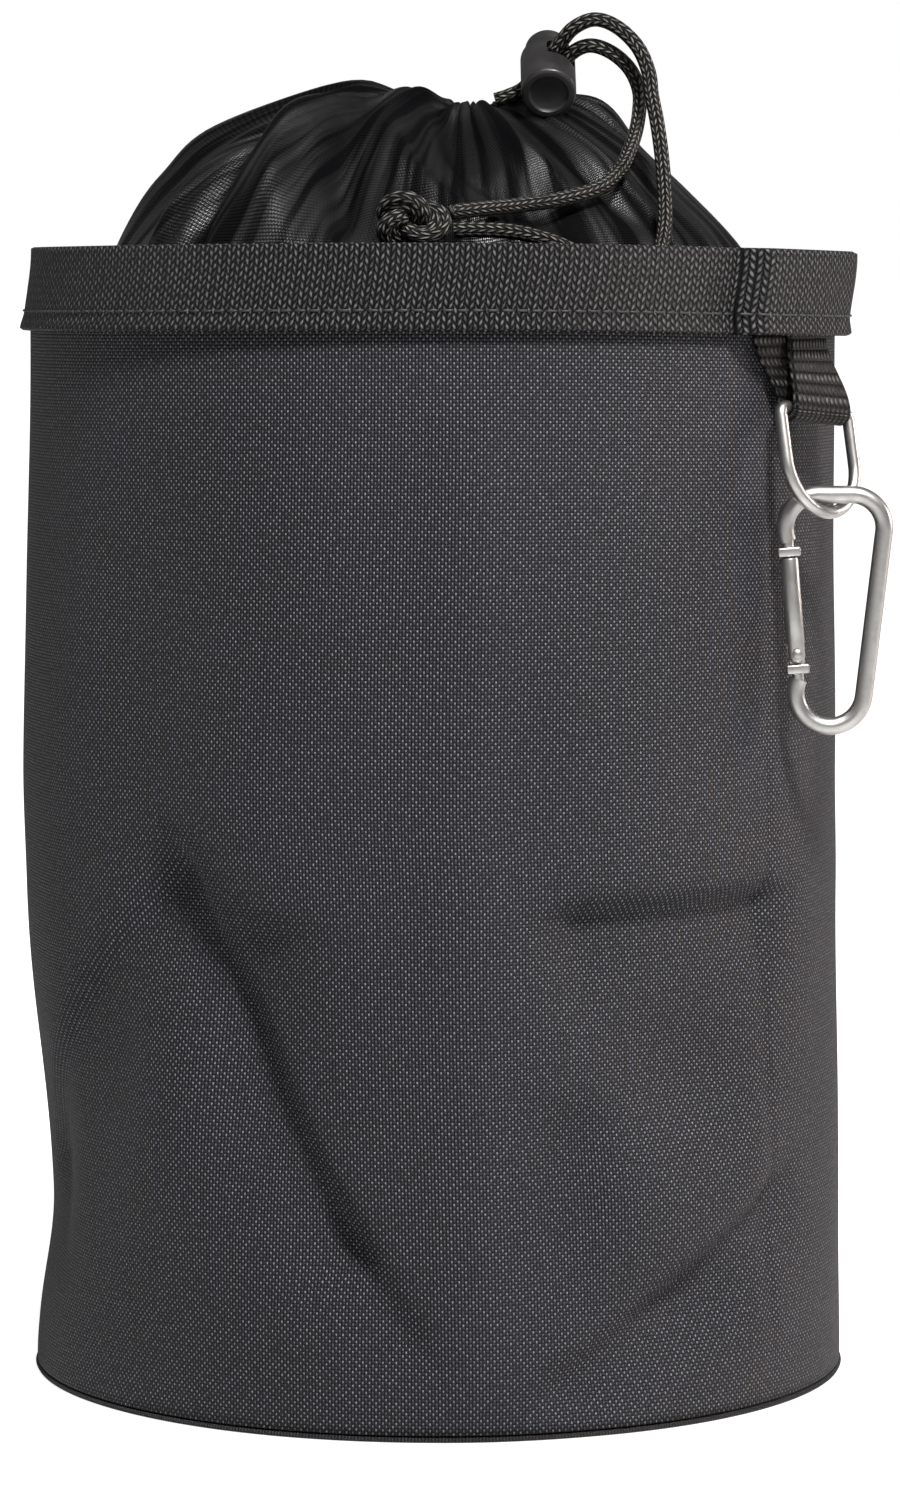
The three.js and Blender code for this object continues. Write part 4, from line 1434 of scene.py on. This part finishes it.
@dataclass
class Collar:
    """The thin collar gathered to the neck."""

    shape: WallShape
    wall: float = 0.6
    rise: float = 37.5
    tuck: float = 6.0
    hem: float = 7.0
    trough: float = 16.0
    neck_radius: float = 6.3
    neck_rise: float = 32.4
    neck_ruffle: float = 5.6
    neck_at: tuple[float, float] = (7.0, -4.0)
    gathers: int = 15
    gather_rise: float = 1.1
    steps: tuple[int, int] = (420, 90)
    flat: tuple[float, float] = (0.597, 0.118)
    cut_area: float = 0.045
    folds: list[tuple[float, ...]] = field(
        default_factory=lambda: [
            # angle, foot, shoulder, shoulder rise, crown, crown rise
            (-180, 0.764, 0.543, 0.667, 0.281, 0.83),
            (-140, 0.774, 0.553, 0.693, 0.302, 0.9),
            (-100, 0.804, 0.573, 0.72, 0.261, 0.99),
            (-78, 0.744, 0.503, 0.587, 0.281, 0.86),
            (-59, 0.764, 0.43, 0.86, 0.261, 0.97),
            (-31, 0.774, 0.4, 0.82, 0.225, 1.0),
            (0, 0.79, 0.472, 0.533, 0.2, 0.83),
            (45, 0.764, 0.503, 0.57, 0.281, 0.814),
            (90, 0.724, 0.472, 0.6, 0.342, 0.9),
            (135, 0.744, 0.523, 0.62, 0.302, 0.83),
        ]
    )

    ridges: list[tuple[float, ...]] = field(
        default_factory=lambda: [
            # angle at the neck, at the foot, left width, right width, rise, start and end as shares
            (-78, -28, 9, 4, 3.4, 0.3, 0.64),
            (-104, -98, 14, 10, 2.6, 0.3, 0.76),
            (-56, -14, 4, 7, -4.4, 0.28, 0.72),
            (-44, 14, 6, 3, 3.0, 0.25, 0.64),
            (-66, -30, 2.5, 2.5, 2.2, 0.52, 0.78),
            (-14, 24, 4, 7, -4.2, 0.3, 0.78),
            (10, 34, 4, 3, 3.4, 0.42, 0.8),
            (28, 42, 4, 4, -3.2, 0.3, 0.74),
            (62, 58, 6, 8, 2.4, 0.4, 0.8),
            (44, 44, 0.8, 0.8, -0.7, 0.25, 0.74),
            (46, 46, 0.8, 0.8, 0.5, 0.25, 0.74),
            (-96, -62, 5, 4, 2.6, 0.24, 0.66),
            (-86, -50, 3, 5, -3.4, 0.24, 0.7),
            (118, 104, 6, 5, 1.2, 0.3, 0.8),
            (150, 138, 7, 9, 0.9, 0.3, 0.8),
            (-170, -158, 8, 6, 0.9, 0.3, 0.8),
            (-135, -120, 7, 7, 1.6, 0.3, 0.8),
            (170, 176, 5, 5, -2.4, 0.3, 0.76),
        ]
    )

    def ridge_rise(self, ridge: tuple[float, ...], angle: float, share: float, radius: float) -> float:
        """The rise of one long fold at a place on the collar.

        Args:
            ridge: a row of the ridges.
            angle: degrees from the front.
            share: how far from the hem to the neck.
            radius: the collar's radius there.

        Returns:
            The rise in millimetres.
        """
        at_neck, at_foot, left, right, rise, start, stop = ridge
        at = mix(at_foot, at_neck, min(1.0, max(0.0, (share - 0.33) / 0.45)))
        off = math.radians(turned(angle - at)) * radius
        near = min(1.0, radius / 22)
        fade = smooth((share - start) / 0.14) * smooth((stop - share) / 0.12)
        return rise * near * fade * hump(off, (left if off < 0 else right) * near)

    def fold_rows(self) -> list[Row]:
        """The folds as rows with named columns."""
        names = ("angle", "foot", "shoulder", "shoulder_rise", "crown", "crown_rise")
        return [dict(zip(names, row)) for row in self.folds]

    def meridian(self, rows: list[Row], angle: float) -> list[Vector]:
        """The points of the collar's section in one direction: radius, 0, height.

        Args:
            rows: the folds with named columns.
            angle: degrees from the front.

        Returns:
            The points from the hem to the neck.
        """
        names = ("foot", "shoulder", "shoulder_rise", "crown", "crown_rise")
        here = [round_column(rows, angle, name) for name in names]
        foot, shoulder, shoulder_rise, crown, crown_rise = here
        size, top = self.shape.radius, self.shape.bag_height
        hem = self.shape.section(self.shape.cloth_top, "radius") - 1.5 - 2 * GAP - 1.2
        hem_top = top - self.tuck - self.shape.rim_sag(angle, top)
        shoulder_at = top + self.rise * shoulder_rise
        crown_at = top + self.rise * crown_rise
        neck = top + self.neck_rise
        gather = self.gather_rise * math.cos(math.radians(self.gathers * angle))
        ruffle = self.neck_radius + self.neck_ruffle
        flat = [
            (hem, hem_top),
            (hem - 0.5, hem_top - self.hem),
            (mix(hem, foot * size, 0.5), top - self.trough),
            (foot * size, top),
            (mix(foot, shoulder, 0.5) * size, mix(top, shoulder_at, 0.56)),
            (shoulder * size, shoulder_at),
            (crown * size, crown_at + 0.5 * gather),
            (ruffle, mix(crown_at, neck, 0.8) + gather),
            (self.neck_radius + 0.3 * self.neck_ruffle + 0.5 * gather, neck + 0.6 * gather),
            (self.neck_radius + 0.4 * gather, neck - 4),
        ]
        return [Vector((radius, 0, z)) for radius, z in flat]

    def pleat(self, angle: float, share: float) -> float:
        """The rise of the fine pleats that run out from the neck."""
        turn = math.radians(angle)
        near = smooth((share - 0.5) / 0.3) * smooth((1.02 - share) / 0.1)
        far = smooth((share - 0.3) / 0.3) * smooth((0.9 - share) / 0.3)
        fine = abs(math.sin(11 * turn + 0.8 * math.sin(3 * turn) + 0.5)) ** 0.7 - 0.6
        broad = math.cos(9 * turn + 1.1 * math.sin(2 * turn + 1)) + 0.6 * math.cos(14 * turn + 2)
        return 2.0 * near * fine + 0.7 * far * broad

    def build(self, finishes: Finishes) -> None:
        """Makes the collar.

        Args:
            finishes: the finishes of the bag.
        """
        rows = self.fold_rows()
        columns = self.steps[0]
        lines = [self.meridian(rows, -180 + 360 * i / columns) for i in range(columns + 1)]

        def place(u: float, v: float) -> Vector:
            """The collar's point at shares round it and up to the neck."""
            i = round(u * columns)
            angle = -180 + 360 * i / columns
            at = spline_point(lines[i], v)
            ahead = spline_point(lines[i], min(1.0, v + 0.004)) - spline_point(lines[i], max(0.0, v - 0.004))
            run = ahead.normalized()
            lift = self.pleat(angle, v) + sum(self.ridge_rise(r, angle, v, at.x) for r in self.ridges)
            radius, z = at.x + run.z * lift, at.z - run.x * lift
            towards_neck = smooth((v - 0.4) / 0.5)
            centre = Vector(
                (
                    mix(self.shape.section(at.z, "shift"), self.neck_at[0], towards_neck),
                    self.neck_at[1] * towards_neck,
                    0,
                )
            )
            found = away_facing(angle) * radius + centre
            found.z = z
            return found

        bm = sheet_mesh(self.steps, place, self.flat, "u")
        made = piece("collar_cloth", bm, finishes.lining, Body.BAG, ["collar"])
        thicken(made, self.wall)


@dataclass
class Drawstring:
    """Both strands of the drawstring and their knot."""

    diameter: float = 3.5
    knot_at: tuple[float, float, float] = (-6.0, -85.5, 280.6)
    knot_size: tuple[float, float, float] = (19.0, 9.6, 15.0)
    route_a: list[tuple[float, float, float]] = field(
        default_factory=lambda: [
            (18.4, -9.4, 311.4),
            (21.5, -11.6, 310.9),
            (24.1, -14.1, 311.2),
            (28.2, -17.0, 316.2),
            (32.2, -19.8, 321.1),
            (36.6, -21.4, 322.9),
            (41.6, -21.8, 321.3),
            (46.0, -22.2, 317.4),
            (48.3, -23.4, 312.2),
            (48.2, -26.8, 307.0),
            (47.2, -31.4, 302.0),
            (45.4, -38.6, 297.4),
            (42.8, -47.6, 292.8),
            (37.6, -57.4, 288.6),
            (28.6, -65.6, 285.9),
            (18.2, -71.8, 284.4),
            (10.0, -79.2, 283.6),
            (3.4, -83.6, 282.8),
        ]
    )
    route_b: list[tuple[float, float, float]] = field(
        default_factory=lambda: [
            (14.0, -14.6, 310.1),
            (17.4, -14.9, 311.2),
            (21.0, -15.2, 313.1),
            (25.1, -18.1, 318.1),
            (29.1, -20.9, 323.0),
            (32.6, -23.0, 327.0),
            (37.6, -24.0, 329.0),
            (42.9, -24.8, 327.2),
            (47.8, -26.4, 322.4),
            (50.4, -29.0, 316.2),
            (51.0, -33.0, 310.6),
            (52.0, -38.2, 304.6),
            (52.9, -43.6, 297.0),
            (53.4, -50.2, 288.4),
            (53.2, -58.4, 279.6),
            (51.2, -67.4, 272.4),
            (47.0, -75.0, 268.8),
            (41.4, -80.6, 268.6),
            (35.0, -83.2, 272.0),
            (27.4, -84.6, 275.8),
            (18.6, -86.0, 278.2),
            (10.6, -87.2, 278.8),
            (3.9, -87.4, 278.7),
        ]
    )

    def knot_points(self, shift: float, size: float) -> list[Vector]:
        """The closed middle line of one turn of the knot.

        Args:
            shift: how far it is moved along itself, as a share of a turn.
            size: its size as a share of the knot's.

        Returns:
            The points in millimetres.
        """
        radius = self.diameter / 2
        reach = [size * (s / 2 - radius) for s in self.knot_size]
        points = []
        for i in range(120):
            t = 2 * math.pi * (i / 120 + shift)
            out = (2 + math.cos(3 * t)) / 3
            points.append(
                Vector(
                    (
                        self.knot_at[0] + reach[0] * out * math.cos(2 * t),
                        self.knot_at[1] + reach[1] * math.sin(3 * t),
                        self.knot_at[2] + reach[2] * out * math.sin(2 * t),
                    )
                )
            )
        return points

    def build(self, finishes: Finishes) -> None:
        """Makes the knot and both strands.

        Args:
            finishes: the finishes of the bag.
        """
        radius = self.diameter / 2
        turns = [
            tube_mesh(self.knot_points(0.0, 1.0), radius, 12, True),
            tube_mesh(self.knot_points(0.06, 0.72), radius, 12, True),
        ]
        knot = piece("knot", joined(turns), finishes.cord, Body.BAG, ["drawstring_knot"])
        for letter, route in (("a", self.route_a), ("b", self.route_b)):
            line = even_points(route, 220)
            node = f"drawstring_{letter}"
            tube = tube_mesh(line, radius, 16)
            strand = piece(f"strand_{letter}", tube, finishes.cord, Body.BAG, [node])


@dataclass
class CordLock:
    """The spring lock: a barrel with a cross hole and the plunger in it."""

    radius: float = 6.6
    wall: float = 0.9
    length: float = 17.6
    floor: float = 2.4
    travel: float = 3.0
    sticks_out: float = 6.9
    hole_at: float = 12.1
    hole_length: float = 6.0
    hole_width: float = 8.2
    at: tuple[float, float, float] = (26.6, -28.0, 311.1)
    pitch: float = 29.5
    roll: float = 55.0

    def frame(self) -> Matrix:
        """The lock's own frame: Z along the barrel from its flat end, X along the cord hole."""
        pitch, roll = math.radians(self.pitch), math.radians(self.roll)
        back = Vector((0, math.cos(pitch), math.sin(pitch)))
        lift = Vector((0, -back.z, back.y))
        hole = Vector((math.cos(roll), 0, 0)) + lift * math.sin(roll)
        across = back.cross(hole)
        turn = Matrix((hole, across, back)).transposed().to_4x4()
        return Matrix.Translation(Vector(self.at)) @ turn

    def slot(self, length: float, middle: float) -> bmesh.types.BMesh:
        """The block that cuts the cord hole."""
        place = self.frame() @ Matrix.Translation((0, 0, middle))
        return block_mesh(Vector((4 * self.radius, self.hole_width, length)), 1.2, place)

    def build(self, finishes: Finishes) -> None:
        """Makes the barrel and the plunger.

        Args:
            finishes: the finishes of the bag.
        """
        bore, edge = self.radius - self.wall, 0.9
        turns = (0, 0.4, 0.8, 1.2, math.pi / 2)
        round_edge = [(self.radius - edge * (1 - math.sin(t)), edge * (1 - math.cos(t))) for t in turns]
        shell = [
            (0, 0.7),
            (bore - 1.6, 0.7),
            (bore - 1.3, 0.55),
            (bore - 0.9, 0),
            *round_edge,
            (self.radius, self.length - 0.5),
            (self.radius - 0.2, self.length - 0.1),
            (self.radius - 0.5, self.length),
            (bore + 0.1, self.length),
            (bore, self.length - 0.2),
            (bore, self.floor),
            (0, self.floor),
        ]
        barrel = cut(lathe_mesh(shell, 72, self.frame()), [self.slot(self.hole_length, self.hole_at)])
        piece("lock_barrel", barrel, finishes.plastic, Body.BAG, ["cord_lock_barrel"], 35)
        tip = self.length + self.sticks_out
        low = self.floor + self.travel + GAP
        stem = bore - GAP
        dome = [(stem * math.cos(t), tip - 1.8 + 1.8 * math.sin(t)) for t in (0, 0.3, 0.6, 0.9, 1.2)]
        profile = [(0, low), (stem, low), (stem, tip - 2.2), *dome, (0, tip)]
        middle = self.hole_at + self.travel / 2
        hole = self.slot(self.hole_length + self.travel, middle)
        plunger = cut(lathe_mesh(profile, 72, self.frame()), [hole])
        nodes = ["cord_lock_plunger"]
        piece("lock_plunger", plunger, finishes.plastic, Body.PLUNGER, nodes, 35)


@dataclass
class SideLoop:
    """The webbing loop under the band and the ring in it."""

    shape: WallShape
    band_width: float = 20.0
    width: float = 20.0
    thickness: float = 1.4
    back_angle: float = 55.0
    front_angle: float = 61.5
    length: float = 22.4
    tuck: float = 14.0
    wire: float = 3.0
    side_clearance: float = 0.8
    drop: float = 24.7
    ring_angle: float = 59.0
    slack: float = 3.4
    facing: float = 46.0
    lean: float = 14.0
    roll: float = 5.0
    corner: float = 2.0

    @property
    def band_low(self) -> float:
        """The height of the band's lower edge."""
        return self.shape.bag_height - self.band_width

    @property
    def inner_bend(self) -> float:
        """The radius of the webbing's middle line round the ring's bar."""
        return self.wire / 2 + GAP + self.thickness / 2

    def bar_middle(self) -> Vector:
        """The middle of the ring's bar."""
        height = self.band_low - self.length + self.thickness + GAP + self.wire / 2
        found = self.shape.point(self.ring_angle, height, self.slack + self.thickness + GAP + self.wire / 2)
        found.z = height
        return found

    def ring_run(self) -> Vector:
        """The direction of the ring's bar."""
        roll = math.radians(self.roll)
        return along_facing(self.facing) * math.cos(roll) - UP * math.sin(roll)

    def stations(self) -> list[Station]:
        """Places along the loop from the inner layer's upper end, round the bar, to the outer layer's.

        Returns:
            For each its middle, the direction across, the one out of its shown face, side and dish.
        """
        bar, run = self.bar_middle(), self.ring_run()
        top, out = self.band_low + self.tuck, away_facing(self.facing)

        def layer(angle: float, stand_off: float, side: int, share: float) -> Station:
            """One place of a layer, held by the band above and by the bar below."""
            z = mix(bar.z, top, share)
            hold = smooth(min(1.0, (z - bar.z) / (self.band_low - 2 - bar.z)))
            hung = bar + out * (side * self.inner_bend)
            hung.z = z
            held = self.shape.point(angle, z, stand_off)
            held.z = z
            outward = away_facing(mix(self.facing, angle, hold)) * side
            across = run.lerp(along_facing(angle), hold).normalized()
            return hung.lerp(held, hold), across, outward, side, hold

        found = []
        back = 1.4 * GAP + self.thickness / 2
        front = 2.2 * GAP + 1.5 * self.thickness
        found += [layer(self.back_angle, back, -1, 1 - i / 24) for i in range(24)]
        for i in range(25):
            turn = math.radians(180 + 180 * i / 24)
            outward = out * math.cos(turn) + UP * math.sin(turn)
            found.append((bar + outward * self.inner_bend, run, outward, 1, 0.0))
        found += [layer(self.front_angle, front, 1, (i + 1) / 24) for i in range(24)]
        return found

    def build_loop(self, finishes: Finishes) -> None:
        """Makes the webbing loop.

        Args:
            finishes: the finishes of the bag.
        """
        stations = self.stations()
        last = len(stations) - 1

        def place(u: float, v: float) -> Vector:
            """The loop's point at shares along it and round its section."""
            middle, across, outward, side, dish = stations[round(u * last)]
            over, out = strip_section(v, self.width, self.thickness, 0.45)
            off = over - self.width / 2
            sag = dish * off**2 / (2 * self.shape.radius)
            return middle + across * off + outward * (out - self.thickness / 2 - side * sag)

        length = route_length([s[0] for s in stations])
        size = (length * MM, 2 * (self.width + self.thickness) * MM)
        bm = sheet_mesh((last, 60), place, size, "v")
        fill_ends(bm)
        piece("side_loop", bm, finishes.strap, Body.BAG, ["webbing_loop"])

    def ring_frame(self) -> Matrix:
        """The ring's own frame: X along the bar, Z up in the ring's plane."""
        along, lean = self.ring_run(), math.radians(self.lean)
        up = UP * math.cos(lean) - away_facing(self.facing) * math.sin(lean)
        up = (up - along * up.dot(along)).normalized()
        turn = Matrix((along, up.cross(along), up)).transposed().to_4x4()
        return Matrix.Translation(self.bar_middle()) @ turn

    def bow_middle(self) -> Vector:
        """The lowest point of the ring's middle line."""
        return self.ring_frame() @ Vector((0, 0, -self.drop))

    def build_ring(self, finishes: Finishes) -> None:
        """Makes the ring.

        Args:
            finishes: the finishes of the bag.
        """
        half = self.width / 2 + self.side_clearance + self.wire / 2
        outline = [
            *arc_points(half - self.corner, -self.corner, self.corner, 90, 0, 8),
            *arc_points(0, half - self.drop, half, 0, -180, 64),
            *arc_points(self.corner - half, -self.corner, self.corner, 180, 90, 8),
        ]
        bar = [outline[-1].lerp(outline[0], i / 12) for i in range(1, 12)]
        place = self.ring_frame()
        points = [place @ p for p in [*outline, *bar]]
        bm = tube_mesh(points, self.wire / 2, 24, True)
        piece("ring_wire", bm, finishes.metal, Body.RING, ["d_ring"])

    def build(self, finishes: Finishes) -> None:
        """Makes the loop and the ring."""
        self.build_loop(finishes)
        self.build_ring(finishes)


def arc_points(x: float, z: float, radius: float, start: float, stop: float, steps: int) -> list[Vector]:
    """Points on an arc in the XZ plane.

    Args:
        x: the centre's place across.
        z: the centre's height.
        radius: the arc's radius.
        start: where it starts, in degrees.
        stop: where it ends.
        steps: how many steps it takes.

    Returns:
        The points.
    """
    turns = [math.radians(mix(start, stop, i / steps)) for i in range(steps + 1)]
    return [Vector((x + radius * math.cos(t), 0, z + radius * math.sin(t))) for t in turns]


@dataclass
class SnapHook:
    """The snap hook: its bent rod, the gate and the gate's rivet."""

    loop: SideLoop
    length: float = 58.7
    width: float = 23.4
    rod: float = 4.2
    top_bend: float = 7.8
    low_bend: float = 8.1
    low_shift: float = -0.9
    facing: float = 4.0
    link_across: float = -1.8
    gate: float = 4.3
    block: tuple[float, float, float] = (5.4, 2.2, 3.6)
    neck_length: float = 1.4
    neck: float = 2.8
    tongue: float = 1.1
    rivet: float = 1.6
    rivet_head: float = 2.5
    head_height: float = 0.5

    def frame(self) -> Matrix:
        """The hook's own frame: X across its plane, Z up, origin at the top of its middle line."""
        across = along_facing(self.facing)
        origin = self.loop.bow_middle() + UP * ((self.loop.wire + self.rod) / 2 + 2 * GAP)
        origin -= across * self.link_across
        turn = Matrix((across, UP.cross(across), UP)).transposed().to_4x4()
        return Matrix.Translation(origin) @ turn

    def route(self) -> list[Vector]:
        """The rod's middle line from its nose over the top and round the lower end."""
        corner = self.width / 2 - self.top_bend
        low = self.low_bend - (self.length - self.rod)
        return [
            *arc_points(-corner, -self.top_bend, self.top_bend, 203, 90, 18),
            *arc_points(corner, -self.top_bend, self.top_bend, 90, -4, 16),
            *arc_points(self.low_shift, low, self.low_bend, -6, -202, 36),
        ]

    def gate_frame(self, below: float) -> Matrix:
        """A frame on the gate's line, at a distance below its top: Z down the line, Y through the hook."""
        route = self.route()
        line = route[-1] - route[0]
        down = line.normalized()
        through = Vector((0, 1, 0))
        turn = Matrix((through.cross(down), through, down)).transposed().to_4x4()
        return self.frame() @ Matrix.Translation(route[0] + down * below) @ turn

    def build(self, finishes: Finishes) -> None:
        """Makes the hook's frame, gate and rivet.

        Args:
            finishes: the finishes of the bag.
        """
        route = self.route()
        whole = (route[-1] - route[0]).length
        above_foot = self.neck_length + self.block[1] + GAP + self.gate / 2
        rivet_at = whole - above_foot
        place = self.frame()
        parts = [tube_mesh([place @ p for p in route], self.rod / 2, 24)]
        for start, way in ((0.0, 1), (whole, -1)):
            middle = self.neck_length / 2
            end = middle + 0.6
            neck = [(0, -end), (self.neck / 2, -end), (self.neck / 2, end), (0, end)]
            parts.append(lathe_mesh(neck, 24, self.gate_frame(start + way * middle)))
            block = Vector((self.block[0], self.block[2], self.block[1]))
            at = self.gate_frame(start + way * (self.neck_length + self.block[1] / 2))
            parts.append(block_mesh(block, 0.45, at))
        tongue = above_foot - self.neck_length - self.block[1] + self.gate / 2
        size = Vector((self.gate - 2 * GAP, self.tongue, tongue))
        parts.append(block_mesh(size, 0.3, self.gate_frame(rivet_at + tongue / 2 - self.gate / 2 + GAP)))
        nodes = ["carabiner_frame"]
        piece("hook_rod", joined(parts), finishes.metal, Body.CARABINER, nodes, 50)

        top = self.neck_length + self.block[1] + GAP
        radius = self.gate / 2
        bar = rivet_at + radius - top
        profile = [
            (0, 0),
            (radius - 0.5, 0),
            (radius - 0.15, 0.12),
            (radius, 0.5),
            (radius, bar - 1.4),
            (radius - 0.35, bar - 0.5),
            (radius - 0.9, bar),
            (0, bar),
        ]
        slot = Vector((4 * radius, self.tongue + 2 * GAP, 2 * (radius + GAP)))
        tool = block_mesh(slot, 0.1, self.gate_frame(rivet_at))
        gate = cut(lathe_mesh(profile, 36, self.gate_frame(top)), [tool])
        piece("hook_gate", gate, finishes.metal, Body.GATE, ["carabiner_gate"], 40)

        half = self.gate / 2 + GAP
        tip, head = half + self.head_height, self.rivet_head / 2
        pin = self.rivet / 2
        shape = [
            (0, -tip),
            (0.5 * head, -tip + 0.05),
            (0.85 * head, -half - 0.2),
            (head, -half),
            (pin, -half),
            (pin, half),
            (head, half),
            (0.85 * head, half + 0.2),
            (0.5 * head, tip - 0.05),
            (0, tip),
        ]
        across = self.gate_frame(rivet_at) @ Matrix.Rotation(math.pi / 2, 4, "X")
        piece(
            "hook_rivet",
            lathe_mesh(shape, 24, across),
            finishes.metal,
            Body.CARABINER,
            ["gate_rivet"],
            40,
        )


def main() -> None:
    """Builds the studio and every sub-assembly of the bag."""
    logging.basicConfig(level=logging.INFO, format="%(name)s: %(message)s")
    finishes = Finishes()
    Studio().build(finishes)
    shape = WallShape()
    Drawstring().build(finishes)
    BagBody(shape).build(finishes)
    RimBand(shape).build(finishes)
    Collar(shape).build(finishes)
    CordLock().build(finishes)
    loop = SideLoop(shape)
    loop.build(finishes)
    SnapHook(loop).build(finishes)


if __name__ == "__main__":
    main()
